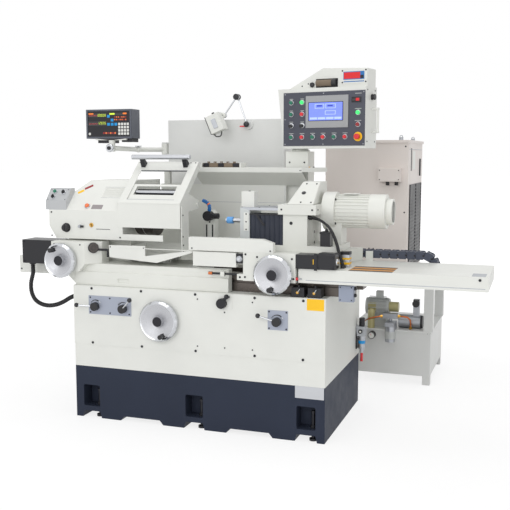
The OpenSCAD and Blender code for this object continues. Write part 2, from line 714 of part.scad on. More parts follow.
// Readout on its swinging arm
dro_post_x = -578;
dro_post_y = 470;
dro_post_r = 16;
dro_post_z = [1530, 1600];
dro_arm_r = 15;
dro_elbow_r = 19;
dro_elbow = [-690, 300, 1560];
dro_head = [-805, 165, 1568];
dro_tip_r = 20;
dro_tip_h = 22;
dro_bracket_t = 8;
dro_pin_r = 8;
module dro_arm() color(white) {
    difference() {
        union() {
            rod_z(dro_post_x, dro_post_y, dro_post_z, dro_post_r + dro_bracket_t);
            strut([dro_post_x - dro_post_r, dro_post_y - dro_post_r, dro_elbow.z], dro_elbow, dro_arm_r);
            translate(dro_elbow) sphere(dro_elbow_r);
            strut(dro_elbow, dro_head, dro_arm_r);
            rod_z(dro_head.x, dro_head.y, [dro_head.z - dro_tip_h, dro_head.z + dro_tip_h], dro_tip_r);
        }
        rod_z(dro_post_x, dro_post_y, [dro_post_z[0] - cut, dro_post_z[1] + cut],
            dro_pin_r + shaft_gap);
        rod_z(dro_head.x, dro_head.y, [dro_head.z - dro_tip_h - cut, dro_head.z + dro_tip_h + cut],
            dro_pin_r + shaft_gap);
    }
}
readout_y = 150;
readout_z = 1628;
readout_x0 = -978;
cradle_t = 10;
cradle_w = 220;
module dro_unit() {
    color(black) block([readout_x0, readout_x0 + readout_w], [readout_y, readout_y + readout_d],
        [readout_z, readout_z + readout_h]);
    color(white) {
        block([dro_head.x - cradle_w / 2, dro_head.x + cradle_w / 2], [readout_y, readout_y + readout_d],
            [readout_z - cradle_t, readout_z]);
        rod_z(dro_head.x, dro_head.y, [dro_head.z + dro_tip_h + run_gap, readout_z - cradle_t],
            dro_tip_r);
        rod_z(dro_head.x, dro_head.y, [dro_head.z - dro_tip_h, readout_z - cradle_t], dro_pin_r);
    }
}

// Work lamp on the rear cabinet; each hub turns on the pin of the piece before it
lamp_base = [18, 412, 1716];
lamp_knee = [-44, 412, 1886];
lamp_wrist = [-128, 412, 1773];
lamp_r = 5;
lamp_joint_r = 16;
lamp_joint_l = 20;
lamp_pin_r = 4;
lamp_plate = 12;
lamp_pitch = lamp_joint_l + run_gap;
module lamp_arm(p, q, y) {
    difference() {
        union() {
            strut([p.x, y, p.z], [q.x, y, q.z], lamp_r);
            for (e = [p, q]) rod_y(e.x, [y - lamp_joint_l / 2, y + lamp_joint_l / 2], e.z, lamp_joint_r);
        }
        rod_y(p.x, [y - lamp_joint_l, y + lamp_joint_l], p.z, lamp_pin_r + shaft_gap);
    }
    rod_y(q.x, [y - 1.5 * lamp_joint_l, y], q.z, lamp_pin_r);
}
module lamp_lower_arm() color("silver") lamp_arm(lamp_base, lamp_knee, lamp_base.y);
module lamp_upper_arm() color("silver") lamp_arm(lamp_knee, lamp_wrist, lamp_base.y - lamp_pitch);
lamp_w = 112;
lamp_d = 72;
lamp_t = 90;
lamp_up = 19;
lamp_lean = -23;
module lamp_head() color(white)
    translate([lamp_wrist.x, lamp_base.y - 2 * lamp_pitch, lamp_wrist.z]) difference() {
        union() {
            rod_y(0, [-lamp_joint_l / 2, lamp_joint_l / 2], 0, lamp_joint_r);
            rotate([0, lamp_lean, 0]) translate([-lamp_t, -lamp_d - lamp_joint_l / 2, -lamp_w + lamp_up])
                cube([lamp_t, lamp_d + lamp_joint_l / 4, lamp_w]);
        }
        rod_y(0, [-lamp_joint_l, lamp_joint_l], 0, lamp_pin_r + shaft_gap);
    }

// Hydraulic tank that also carries the right posts of the frame
tank_x0 = 590;
service_y = 900;
tank_z0 = 60;
tank_foot = 50;
tank_lid_t = 12;
tank_wall = 5;
tank_x1 = tank_x0 + tank_w;
tank_y1 = service_y + tank_d;
module hydraulic_tank() color(light_grey) {
    difference() {
        block([tank_x0, tank_x1], [service_y, tank_y1], [tank_z0, tank_top - tank_lid_t]);
        block([tank_x0 + tank_wall, tank_x1 - tank_wall], [service_y + tank_wall, tank_y1 - tank_wall],
            [tank_z0 + tank_wall, tank_top - tank_lid_t + cut]);
    }
    block([tank_x0 - tank_wall, tank_x1 + tank_wall], [service_y - tank_wall, tank_y1 + tank_wall],
        [tank_top - tank_lid_t, tank_top]);
    for (x = [tank_x0, tank_x1 - tank_foot], y = [service_y, tank_y1 - tank_foot])
        block([x, x + tank_foot], [y, y + tank_foot], [0, tank_z0]);
}

// Pump motor, lying on a foot on the tank
pump_x = [680, 838];
pump_y = 1000;
pump_z = 500;
pump_r = 55;
pump_fin_r = 60;
pump_end_l = 16;
pump_fin_pitch = 9;
pump_fin_t = 4;
pump_box_w = 45;
pump_box_h = 105;
pump_foot_w = 90;
pump_l = 62;
pump_body_r = 34;
elbow_y = 925;
elbow_r = 24;
elbow_z = 470;
elbow_x = 727;
module pump_motor() {
    color("lightgray") {
        rod_x(pump_x, pump_y, pump_z, pump_r);
        for (x = [pump_x[0] + pump_end_l : pump_fin_pitch : pump_x[1] - pump_end_l])
            rod_x([x, x + pump_fin_t], pump_y, pump_z, pump_fin_r);
        block([pump_x[1] - 2 * pump_box_w, pump_x[1] - pump_box_w],
            [pump_y - pump_box_w / 2, pump_y + pump_box_w / 2], [pump_z, pump_z + pump_box_h]);
        block([pump_x[0] + pump_end_l, pump_x[1] - pump_end_l],
            [pump_y - pump_foot_w / 2, pump_y + pump_foot_w / 2], [tank_top, pump_z - pump_r / 2]);
    }
    color("darkkhaki") {
        rod_x([pump_x[1], pump_x[1] + pump_l], pump_y, pump_z, pump_body_r);
        rod_y(elbow_x, [elbow_y, pump_y - pump_r / 2], elbow_z, elbow_r);
        rod_z(elbow_x, elbow_y, [tank_top, elbow_z], elbow_r);
        translate([elbow_x, elbow_y, elbow_z]) sphere(elbow_r);
    }
}

// Valve stack, accumulator, filter and the gauge
valve_x = [809, 908];
valve_y = [900, 938];
valve_z = [436, 470];
valve_post_r = 12;
accu_x = [905, 1050];
accu_r = 45;
accu_cap = 14;
filter_x = 868;
filter_r = 32;
filter_y = 861;
filter_z = [290, 395];
filter_head_h = 25;
gauge_x = 742;
gauge_r = 24;
gauge_y = [860, 900];
gauge_z = 322;
relief_x = [1000, 1040];
relief_top = 560;
relief_gauge_r = 24;
module valve_stack() {
    color("silver") {
        block(valve_x, valve_y, valve_z);
        rod_z((valve_x[0] + valve_x[1]) / 2, (valve_y[0] + valve_y[1]) / 2, [tank_top, valve_z[0]],
            valve_post_r);
        rod_x(accu_x, pump_y, tank_top + accu_r, accu_r);
        rod_z(filter_x, filter_y, filter_z, filter_r);
        block([filter_x - filter_r, filter_x + filter_r], [filter_y - filter_r, service_y],
            [filter_z[1], filter_z[1] + filter_head_h]);
        block([filter_x - filter_r, filter_x + filter_r], [service_y, service_y + filter_r],
            [tank_top, filter_z[1] + filter_head_h]);
        block(relief_x, [pump_y - accu_r / 2, pump_y + accu_r / 2],
            [tank_top + accu_r, relief_top]);
    }
    color(black) {
        rod_x([accu_x[1], accu_x[1] + accu_cap], pump_y, tank_top + accu_r, accu_r - accu_cap / 7);
        rod_y(gauge_x, gauge_y, gauge_z, gauge_r);
        rod_y((relief_x[0] + relief_x[1]) / 2, [pump_y - accu_r, pump_y - accu_r / 2],
            relief_top - relief_gauge_r, relief_gauge_r);
    }
}

// Copper pipes between the machine, the valves and the tank
pipe_r = 6;
pipe_side = [0.3, 1, 0.2];
pipe_low = [[700, rear_y, 430], [700, 560, 430], [702, 700, 431], [708, 790, 433], [725, 850, 437],
    [755, 890, 441], [785, 907, 445], [798, 909, 446], [809, 909, 446]];
pipe_high = [[908, 919, 452], [945, 919, 452], [972, 922, 448], [988, 930, 430], [990, 940, 405],
    [990, 943, 385], [990, 943, tank_top]];
module copper_pipes() color(copper) {
    tube(pipe_low, pipe_r, 10, pipe_side);
    tube(pipe_high, pipe_r, 10, pipe_side);
}

// Drive cabinet on its frame
drive_x0 = 404;
deck_x1 = 1147;
frame_deck_t = 20;
post_side = 60;
drive_wall = 8;
lid_over = 8;
lid_t = 18;
vent_y = [960, 1480];
vent_z = [760, 1330];
vent_t = 4;
terminal_x = [770, 918];
terminal_z = [1352, 1440];
terminal_d = 60;
drive_gland_r = 12;
eye_r = 14;
eye_h = 20;
module control_cabinet() {
    color(beige) {
        difference() {
            block([drive_x0, drive_x0 + drive_w], [service_y, service_y + drive_d],
                [frame_h, frame_h + drive_h - lid_t]);
            block([drive_x0 + drive_wall, drive_x0 + drive_w - drive_wall],
                [service_y + drive_wall, service_y + drive_d - drive_wall],
                [frame_h + drive_wall, frame_h + drive_h - lid_t + cut]);
        }
        block([drive_x0 - lid_over, drive_x0 + drive_w + lid_over],
            [service_y - lid_over, service_y + drive_d + lid_over],
            [frame_h + drive_h - lid_t, frame_h + drive_h]);
        block(terminal_x, [service_y - terminal_d, service_y], terminal_z);
        for (x = [drive_x0 + post_side, drive_x0 + drive_w - post_side],
            y = [service_y + post_side, service_y + drive_d - post_side])
            rod_z(x, y, [frame_h + drive_h, frame_h + drive_h + eye_h], eye_r);
    }
    color(black) {
        block([drive_x0 + drive_w, drive_x0 + drive_w + vent_t], vent_y, vent_z);
        for (x = [terminal_x[0] + terminal_d, terminal_x[1] - terminal_d / 2])
            rod_z(x, service_y - terminal_d / 2, [terminal_z[0] - 2 * drive_gland_r, terminal_z[0]],
                drive_gland_r);
    }
    color(light_grey) {
        block([drive_x0, deck_x1], [service_y, service_y + drive_d], [frame_h - frame_deck_t, frame_h]);
        for (y = [service_y, service_y + drive_d - post_side]) {
            block([deck_x1 - post_side - tank_wall, deck_x1 - tank_wall], [y, y + post_side],
                [tank_top, frame_h - frame_deck_t]);
            block([drive_x0, drive_x0 + post_side], [y, y + post_side], [0, frame_h - frame_deck_t]);
        }
    }
}

// Air service unit on the right end of the machine
air_y = 350;
air_x = [base_w / 2, 808];
air_r = 25;
air_z = [350, 540];
air_block = [430, 490];
air_tip = 270;
module air_unit() {
    color("silver") {
        block([air_x[0], air_x[1]], [air_y - air_r, air_y + air_r], air_block);
        rod_z(air_x[1] - air_r, air_y, [air_z[0], air_block[0]], air_r * 0.8);
        rod_z(air_x[1] - air_r, air_y, [air_z[0] - air_r, air_z[0]], air_r / 2);
    }
    color(black) {
        rod_z(air_x[1] - air_r, air_y, [air_block[1], air_z[1]], air_r * 0.7);
        block([air_x[0], air_x[0] + 2 * vent_t], [air_y - air_r, air_y + air_r],
            [air_z[0], air_block[0]]);
    }
    color("red") rod_z(air_x[1] - air_r, air_y, [air_tip, air_z[0] - air_r], air_r / 3);
}

// Limit switches in front of the ways and the junction box beside them
switch_x = [560, 650];
switch_w = 70;
switch_y = [-412, -345];
switch_h = 52;
dog_r = 9;
box_x = [805, 885];
box_y = [-370, -330];
box_z = [762, 850];
module limit_switches() {
    color(black) for (x = switch_x) {
        block([x, x + switch_w], switch_y, [bed_z, bed_z + switch_h]);
        rod_z(x + switch_w / 2, switch_y[0] + switch_w / 3, [bed_z + switch_h, bed_z + switch_h + dog_r],
            dog_r);
    }
    color("slategray") block(box_x, box_y, box_z);
}

// Drip tray under the chuck, dresser post and its bearing
tray_y = [-395, -60];
tray_x = [-470, -13];
tray_bottom = [[-470, 942], [-230, 925], [-13, 990]];
tray_lip = [[-13, 1002], [-301, 960], [-301, 1017], [-529, 1015], [-527, 946]];
tray_feet = [[-420, 938], [-270, 928]];
tray_foot_y = -240;
post_x = [-122, -58];
post_y = [47, 107];
dresser_x = (post_x[0] + post_x[1]) / 2;
dresser_z = 1163;
dresser_d = 40;
dresser_pin_r = 9;
side_plate_t = 4;
side_plate_x = -100;
side_plate_y = [-345, -230];
side_plate_z = 1035;
module drip_tray() color(white) {
    front_slab([tray_y[0], tray_y[0] + sheet_t], concat(tray_bottom, tray_lip));
    front_slab([tray_y[0], tray_y[1]], concat(tray_bottom,
        [for (i = [2 : -1 : 0]) tray_bottom[i] + [0, sheet_t]]));
    front_slab([tray_y[1] - sheet_t, tray_y[1]], concat(tray_bottom, [[-13, 1002], [-470, 1002]]));
    block([tray_x[0], tray_x[0] + sheet_t], tray_y, [942, 1002]);
    block([side_plate_x, side_plate_x + side_plate_t], side_plate_y, [965, side_plate_z]);
    for (f = tray_feet, y = [tray_foot_y, tray_y[1] - post_w])
        block([f[0], f[0] + post_w], [y, y + post_w], [bed_top, f[1]]);
    block(post_x, post_y, [bed_top, dresser_z]);
    rod_y(dresser_x, post_y, dresser_z, (post_x[1] - post_x[0]) / 2);
    rod_y(dresser_x, [post_y[0] - dresser_d, post_y[0]], dresser_z, dresser_pin_r);
}
dresser_r = 30;
dresser_l = 66;
dresser_rod_r = 17;
nozzle_r = 9;
nozzle_route = [[4, 0, 24], [8, 0, 44], [4, 0, 66], [-14, -2, 84], [-36, -4, 92]];
module dresser_arm() translate([dresser_x, post_y[0] - run_gap, dresser_z]) {
    color(black) difference() {
        union() {
            rod_y(0, [-dresser_d, 0], 0, dresser_r);
            rod_x([0, dresser_l], -dresser_d / 2, 0, dresser_rod_r);
        }
        rod_y(0, [-dresser_d - cut, cut], 0, dresser_pin_r + shaft_gap);
    }
    color("royalblue") translate([0, -dresser_d / 2, 0]) tube(nozzle_route, nozzle_r, 12, [0, 1, 0]);
}

// Table saddle on the ways
saddle_x0 = 310;
saddle_y = [-335, 45];
cover_z = 859;
cover_top = cover_z + cover_h;
saddle_slant = [690, 845];
saddle_groove = 14;
link_x = [300, 590];
link_z = [bed_top + 5, saddle_top];
module table_saddle() color(white) {
    difference() {
        block([saddle_x0, saddle_x0 + saddle_l], saddle_y, [saddle_z, cover_top - sheet_t]);
        block([saddle_x0 - cut, saddle_x0 + saddle_l + cut], [front_way_y + way_w, rear_way_y],
            [saddle_z - cut, saddle_z + saddle_groove]);
    }
    plan_slab([cover_top - sheet_t, saddle_top], [[saddle_x0, saddle_y[0]],
        [saddle_slant[0], saddle_y[0]], [saddle_slant[1], saddle_y[1]], [saddle_x0, saddle_y[1]]]);
    block(link_x, [plate_front_y + plate_d, saddle_y[0]], link_z);
}

// Front plate of the table with the cross-feed bearing, and the trip rod
feed_plate_x = [300, 590];
feed_plate_z = [858, 1011];
ear_x = 265;
ear_z = [860, 892];
trip_z = 888;
trip_y = -425;
trip_x = [96, 265];
trip_r = 6;
trip_knob_r = 9;
trip_knob_l = 22;
clamp_x = [168, 190];
clamp_w = 13;
module feed_plate() {
    color(white) {
        difference() {
            block(feed_plate_x, [plate_front_y, plate_front_y + plate_d], feed_plate_z);
            rod_y(cross_wheel_x, [plate_front_y - cut, plate_front_y + plate_d + cut], cross_wheel_z,
                hand_shaft_r + shaft_gap);
        }
        block([ear_x, feed_plate_x[0]], [plate_front_y, plate_front_y + plate_d], ear_z);
        block(clamp_x, [trip_y - clamp_w, trip_y + clamp_w], [trip_z - clamp_w, trip_z + clamp_w]);
    }
    color(black) rod_x([trip_x[0] + trip_knob_l, trip_x[1]], trip_y, trip_z, trip_r);
    color("chocolate") rod_x([trip_x[0], trip_x[0] + trip_knob_l], trip_y, trip_z, trip_knob_r);
}

// Sheet guards in front of the wheel slide
guard_x = [-15, 467];
guard_top = 1082;
guard_slope = [410, 1066];
low_guard_x = [10, 260];
low_guard_z = [927, 1005];
arm_z = [950, 1000];
arm_y = -410;
valve_r = 18;
module front_guards() {
    color(white) {
        difference() {
            front_slab([plate_front_y, plate_front_y + plate_d], [[guard_x[0], feed_plate_z[1]],
                [guard_x[1], feed_plate_z[1]], [guard_x[1], guard_slope[1] - sheet_t],
                [guard_slope[0], guard_top], [guard_x[0], guard_top]]);
            front_slab([plate_front_y + sheet_t, plate_front_y + plate_d + cut],
                [[guard_x[0] + sheet_t, feed_plate_z[1] + sheet_t],
                [guard_x[1] - sheet_t, feed_plate_z[1] + sheet_t],
                [guard_x[1] - sheet_t, guard_slope[1] - 3 * sheet_t],
                [guard_slope[0], guard_top - 2 * sheet_t], [guard_x[0] + sheet_t, guard_top - sheet_t]]);
        }
        block(low_guard_x, [plate_front_y, plate_front_y + plate_d], low_guard_z);
    }
    color(black) block([low_guard_x[1], feed_plate_x[0]], [plate_front_y, arm_y], arm_z);
    color("silver") rod_y((low_guard_x[1] + feed_plate_x[0]) / 2, [arm_y, plate_front_y + plate_d],
        (arm_z[0] + arm_z[1]) / 2, valve_r);
}

// Drive motors of the cross feed and the valve block behind them
servo_x = [590, 698, 800];
servo_y = [-440, -350];
servo_z = [936, 1010];
servo_big = 1015;
valve_block_x = [790, 842];
valve_block_y = [-290, -240];
valve_block_h = 82;
module servo_motors() {
    color(black) {
        block([servo_x[0], servo_x[1]], servo_y, servo_z);
        block([servo_x[1], servo_x[2]], servo_y, [servo_z[0], servo_big]);
        rod_x([servo_x[2], servo_x[2] + run_gap * 20], (servo_y[0] + servo_y[1]) / 2,
            (servo_z[0] + servo_z[1]) / 2, valve_r);
    }
    color("gold") block(valve_block_x, valve_block_y, [cover_top, cover_top + valve_block_h]);
}

// Sheet cover on the right end of the table
cover_x0 = 600;
cover_x1 = cover_x0 + cover_l;
cover_y = [-420, 50];
cover_slant = [663, 853];
chain_bracket_x = [860, 900];
lip_drop = 16;
lip_in = 40;
module table_cover() color(white) {
    plan_slab([cover_top - sheet_t, cover_top], [[cover_slant[0], cover_y[0]], [cover_x1, cover_y[0]],
        [cover_x1, cover_y[1]], [cover_slant[1], cover_y[1]]]);
    block([cover_x0, cover_x1], [cover_y[0], cover_y[0] + sheet_t], [cover_z, cover_top]);
    block([cover_slant[1], cover_x1], [cover_y[1] - sheet_t, cover_y[1]], [cover_z, cover_top]);
    block([cover_x1 - sheet_t, cover_x1], cover_y, [cover_z, cover_top]);
    block([saddle_x0 + saddle_l + lip_in, cover_x1 - lip_drop], [cover_y[0], cover_y[0] + lip_in],
        [cover_z, cover_z + sheet_t]);
    block([cover_x0, cover_slant[0]], [cover_y[0], cover_y[0] + lip_drop],
        [cover_top - sheet_t, cover_top]);
    block([cover_x0, cover_x0 + sheet_t], [cover_y[0], saddle_y[0]], [cover_z, cover_top - 2 * sheet_t]);
    block(chain_bracket_x, [cover_y[1], chain_y[0]], [900, 985]);
}

// Cable chain, lying on its tray
chain_y = [60, 140];
chain_h = 45;
chain_turn_r = 41.5;
chain_x = [800, 1180];
chain_low_x0 = 560;
chain_mid_z = chain_tray_z + chain_h + chain_turn_r;
module cable_chain() color(dark_steel) {
    block(chain_x, chain_y, [chain_mid_z + chain_turn_r, chain_mid_z + chain_turn_r + chain_h]);
    block([chain_low_x0, chain_x[1]], chain_y, [chain_tray_z, chain_tray_z + chain_h]);
    difference() {
        rod_y(chain_x[1], chain_y, chain_mid_z, chain_turn_r + chain_h);
        rod_y(chain_x[1], [chain_y[0] - cut, chain_y[1] + cut], chain_mid_z, chain_turn_r);
        block([chain_x[1] - 2 * chain_h - chain_turn_r, chain_x[1]],
            [chain_y[0] - cut, chain_y[1] + cut], [chain_tray_z - cut, chain_mid_z + 2 * chain_h]);
    }
}

// Wheel slide with the belt chamber
slide_plate_h = 34;
plate_top = slide_z + slide_plate_h;
slide_plate_x = [232, 780];
slide_y = [-300, 0];
head_x = [478, 613];
step_x = [455, 665];
step_y = [-320, 0];
step_z = [1207, 1260];
chamber_x = [520, 602];
chamber_y = [-272, -14];
chamber_low = 1070;
motor_y = -110;
motor_z = 1220;
motor_shaft_r = 14;
module wheelhead_housing() color(white) difference() {
    union() {
        block(slide_plate_x, slide_y, [slide_z, plate_top]);
        block(head_x, slide_y, [plate_top, step_z[0]]);
        block(step_x, step_y, step_z);
    }
    block(chamber_x, chamber_y, [chamber_low, step_z[1] + cut]);
    rod_x([head_x[0] - cut, chamber_x[0] + cut], spindle_y, spindle_z, spindle_r + shaft_gap);
    rod_x([chamber_x[1] - cut, step_x[1] + cut], motor_y, motor_z, motor_shaft_r + shaft_gap);
}
belt_top = 1379;
belt_cover_x = [497, 645];
belt_bevel = 50;
belt_wall = 8;
module belt_cover() color(white) difference() {
    intersection() {
        side_slab(belt_cover_x, [[slide_y[0], step_z[1]], [slide_y[1], step_z[1]],
            [slide_y[1], belt_top], [slide_y[0] / 2, belt_top]]);
        front_slab(slide_y, [[belt_cover_x[0], step_z[1]], [belt_cover_x[1], step_z[1]],
            [belt_cover_x[1], belt_top], [belt_cover_x[0] + belt_bevel, belt_top]]);
    }
    block([belt_cover_x[0] + belt_bevel, belt_cover_x[1] - belt_wall],
        [slide_y[0] / 2, slide_y[1] - belt_wall], [step_z[1] - cut, belt_top - belt_wall]);
    block([chamber_x[0], chamber_x[1]], [slide_y[0] * 0.7, slide_y[1] - belt_wall],
        [step_z[1] - cut, step_z[1] + 0.8 * belt_bevel]);
}

// Wheelhead motor with its fins and foot
flange_r = 104;
flange_x = [665, 734];
body_x1 = 917;
fan_x1 = 1006;
end_x1 = 1039;
end_r = 70;
fin_out = 7;
fan_r = motor_r + fin_out + cut;
fin_t = 5;
fin_count = 28;
stator_r = 62;
foot_x = [690, 770];
foot_y = [-170, -50];
eye_x = 745;
module wheelhead_motor() color(white) difference() {
    union() {
        rod_x(flange_x, motor_y, motor_z, flange_r);
        rod_x([flange_x[1], body_x1], motor_y, motor_z, motor_r);
        rod_x([body_x1, fan_x1], motor_y, motor_z, fan_r);
        rod_x([fan_x1, end_x1], motor_y, motor_z, end_r);
        for (i = [1 : fin_count]) translate([flange_x[1] - fin_t, motor_y, motor_z])
            rotate([360 * i / fin_count, 0, 0]) translate([0, -fin_t / 2, stator_r + fin_t])
            cube([body_x1 - flange_x[1] + 2 * fin_t, fin_t, motor_r + fin_out - stator_r - fin_t]);
        block(foot_x, foot_y, [plate_top, motor_z]);
    }
    rod_x([flange_x[0] - cut, flange_x[1] + cut], motor_y, motor_z, motor_shaft_r + shaft_gap);
    rod_x([flange_x[1], fan_x1], motor_y, motor_z, stator_r);
}
rotor_x = [760, 900];
rotor_r = 58;
fan_hub_x = [935, 975];
pulley_l = 58;
pulley_x0 = 532;
module motor_rotor() color(dark_steel) {
    rod_x([pulley_x0 - pulley_l / 8, fan_hub_x[1]], motor_y, motor_z, motor_shaft_r);
    rod_x([pulley_x0, pulley_x0 + pulley_l], motor_y, motor_z, large_pulley_r);
    rod_x(rotor_x, motor_y, motor_z, rotor_r);
    rod_x(fan_hub_x, motor_y, motor_z, 2 * motor_shaft_r);
    for (i = [0 : 5]) translate([fan_hub_x[0], motor_y, motor_z]) rotate([60 * i, 0, 0])
        translate([0, -fin_t / 2, 0]) cube([fan_hub_x[1] - fan_hub_x[0], fin_t, rotor_r]);
}

// Spindle, wheel, cartridge and belt
quill_x = 156;
quill_plate_x = [232, 287];
spindle_end = 598;
quill_r = 12;
arbor_r = 8;
wheel_x = [quill_x - wheel_l, quill_x];
wheel_nut_l = 8;
module wheel_spindle() color(steel) {
    rod_x([quill_plate_x[0], spindle_end], spindle_y, spindle_z, spindle_r);
    rod_x([quill_x, quill_plate_x[0]], spindle_y, spindle_z, quill_r);
    rod_x([wheel_x[0] - wheel_nut_l, quill_x], spindle_y, spindle_z, arbor_r);
    rod_x([wheel_x[0] - wheel_nut_l, wheel_x[0]], spindle_y, spindle_z, arbor_r + fin_t);
    rod_x([pulley_x0, pulley_x0 + pulley_l], spindle_y, spindle_z, small_pulley_r);
}
module grinding_wheel() color("skyblue") difference() {
    rod_x(wheel_x, spindle_y, spindle_z, wheel_r);
    rod_x([wheel_x[0] - cut, wheel_x[1] + cut], spindle_y, spindle_z, arbor_r);
}
cartridge_r = 46;
module spindle_bearings() color(steel) difference() {
    union() {
        rod_x([quill_plate_x[1], head_x[0]], spindle_y, spindle_z, cartridge_r);
        block([quill_plate_x[1] + cartridge_r, head_x[0] - cartridge_r],
            [spindle_y - cartridge_r / 2, spindle_y + cartridge_r / 2], [plate_top, spindle_z]);
    }
    rod_x([quill_plate_x[1] - cut, head_x[0] + cut], spindle_y, spindle_z, spindle_r + shaft_gap);
}
belt_t = 4;
belt_x = [pulley_x0 + 4, pulley_x0 + pulley_l - 4];
module belt_loop(extra) hull() {
    translate([spindle_y, spindle_z]) circle(small_pulley_r + extra, $fn = 64);
    translate([motor_y, motor_z]) circle(large_pulley_r + extra, $fn = 64);
}
module drive_belt() color(black) translate([belt_x[0], 0, 0]) rotate([90, 0, 90])
    linear_extrude(belt_x[1] - belt_x[0]) difference() {
        belt_loop(belt_t);
        belt_loop(run_gap);
    }

// Front plate of the wheelhead, its top covers, and the bellows behind it
bellows_x1 = 455;
plate_y = [-300, -100];
quill_plate_top = 1225;
top_cover_z = 1240;
box_top_x = [226, 300];
box_top_z = 1325;
bellows_top = 1207;
pleats = 7;
pleat_d = 9;
pleat_l = (head_x[0] - quill_plate_x[1]) / pleats;
module quill_plate() color(plate_grey) difference() {
    union() {
        block(quill_plate_x, plate_y, [plate_top, quill_plate_top]);
        block([quill_plate_x[0], bellows_x1], plate_y, [quill_plate_top, top_cover_z]);
        block(box_top_x, [plate_y[0] + post_w, plate_y[0] + 2.5 * post_w], [top_cover_z, box_top_z]);
    }
    rod_x([quill_plate_x[0] - cut, quill_plate_x[1] + cut], spindle_y, spindle_z,
        spindle_r + shaft_gap);
}
module bellows() color(black) plan_slab([plate_top, bellows_top], concat(
    [for (i = [0 : pleats - 1], e = [0, 0.5])
        [quill_plate_x[1] + (i + e) * pleat_l, e == 0 ? plate_y[0] + pleat_d : plate_y[0]]],
    [[head_x[0], plate_y[0] + pleat_d], [head_x[0], plate_y[0] + 2 * pleat_d],
    [quill_plate_x[1], plate_y[0] + 2 * pleat_d]]));

// Cables of the wheelhead and the terminal cube beside it
cable_r = 7;
cube_x = [684, 738];
cube_y = [-298, -235];
cube_h = 78;
cable_a = [[613, -285, 1193], [630, -285, 1193], [665, -290, 1187], [705, -300, 1168],
    [738, -312, 1140], [762, -322, 1102], [780, -329, 1060], [793, -331, 1015], [806, -330, 975],
    [815, -329, 950], [815, -329, cover_top]];
cable_step = [0, 22, -6];
module wheelhead_cables() {
    color(black) {
        tube(cable_a, cable_r, 10, [0, 1, 0]);
        tube([for (p = cable_a) p + (p.z == cover_top ? [0, cable_step.y, 0] : cable_step)],
            cable_r, 10, [0, 1, 0]);
        block(cube_x, cube_y, [plate_top, plate_top + cube_h]);
    }
}

// Workhead slide across the bed
work_slide_x = [-900, -480];
work_slide_y = [-222, 200];
work_slide_top = 1040;
work_slide_z = bed_top + run_gap;
module workhead_slide() color(white) difference() {
    block(work_slide_x, work_slide_y, [work_slide_z, work_slide_top]);
    block([work_slide_x[0] + 2 * base_wall, work_slide_x[1] - 2 * base_wall],
        [work_slide_y[0] + 2 * base_wall, work_slide_y[1] - 2 * base_wall],
        [work_slide_z - cut, work_slide_top - base_wall]);
}

// Workhead housing
work_x = [-947, -464];
work_y = [-350, 150];
work_front_top = 1206;
work_top = 1376;
work_slope_y = -180;
work_shoulder_x = -760;
work_skin = 12;
head_tube_r = 62;
button_box_x = [-968, -830];
button_box_y = [-350, -250];
button_box_z = [1206, 1256, 1330];
louvre_x = [-650, -500];
louvre_count = 5;
hinge_bar_r = 8;
hinge_bar_y = -120;
hinge_bar_z = 1240;
visor_x = [-492, -104];
module workhead_shape(inset) intersection() {
    side_slab([work_x[0] + inset, work_x[1] - inset], [[work_y[0] + inset, work_slide_top - inset],
        [work_y[1] - inset, work_slide_top - inset], [work_y[1] - inset, work_top - inset],
        [work_slope_y, work_top - inset], [work_y[0] + inset, work_front_top - inset]]);
    front_slab(work_y, [[work_x[1] - inset, work_slide_top - inset],
        [work_x[1] - inset, work_top - inset], [work_shoulder_x, work_top - inset],
        [work_x[0] + inset, work_front_top - inset], [work_x[0] + inset, 1112 + inset],
        [-901 + inset, work_slide_top - inset]]);
}
module workhead_housing() {
    color(white) difference() {
        union() {
            difference() {
                workhead_shape(0);
                difference() {
                    workhead_shape(work_skin);
                    block([work_x[0], work_x[1]], work_y, [work_slide_top - work_skin - cut,
                        work_slide_top + work_skin]);
                }
            }
            rod_x([work_x[0] + work_skin / 2, work_x[1]], spindle_y, spindle_z, head_tube_r);
        }
        rod_x([work_x[0] - cut, work_x[1] + cut], spindle_y, spindle_z, work_spindle_r + shaft_gap);
    }
    color(white) {
        front_slab([work_y[0], work_y[0] + sheet_t], [[-640, 1075], [-640, 1060], [-600, 1040.5],
            [-211, 1040.5], [-211, 1075]]);
        rod_x([work_x[1], visor_x[1] + hinge_bar_r], hinge_bar_y, hinge_bar_z, hinge_bar_r);
    }
    color(plate_grey) side_slab(button_box_x, [[button_box_y[0], button_box_z[0]],
        [button_box_y[1], button_box_z[0]], [button_box_y[1], button_box_z[2]],
        [button_box_y[1] - post_w, button_box_z[2]], [button_box_y[0], button_box_z[1]]]);
}

// Work spindle and chuck
nose_x1 = -420;
nose_r = 55;
spindle_hole_r = 20;
spindle_tail = -940;
module work_spindle() color(steel) difference() {
    union() {
        rod_x([spindle_tail, nose_x1], spindle_y, spindle_z, work_spindle_r);
        rod_x([work_x[1] + run_gap, nose_x1], spindle_y, spindle_z, nose_r);
    }
    rod_x([spindle_tail - cut, nose_x1 + cut], spindle_y, spindle_z, spindle_hole_r);
}
jaw_l = 40;
jaw_w = 36;
jaw_shares = [0.35, 0.92];
module work_chuck() color(dark_steel) difference() {
    union() {
        rod_x([nose_x1, nose_x1 + chuck_l], spindle_y, spindle_z, chuck_r);
        for (i = [0 : 2]) translate([nose_x1 + chuck_l, spindle_y, spindle_z])
            rotate([120 * i, 0, 0]) translate([0, -jaw_w / 2, jaw_shares[0] * chuck_r])
            cube([jaw_l, jaw_w, (jaw_shares[1] - jaw_shares[0]) * chuck_r]);
    }
    rod_x([nose_x1 - cut, nose_x1 + chuck_l + jaw_l + cut], spindle_y, spindle_z, chuck_bore_r);
}

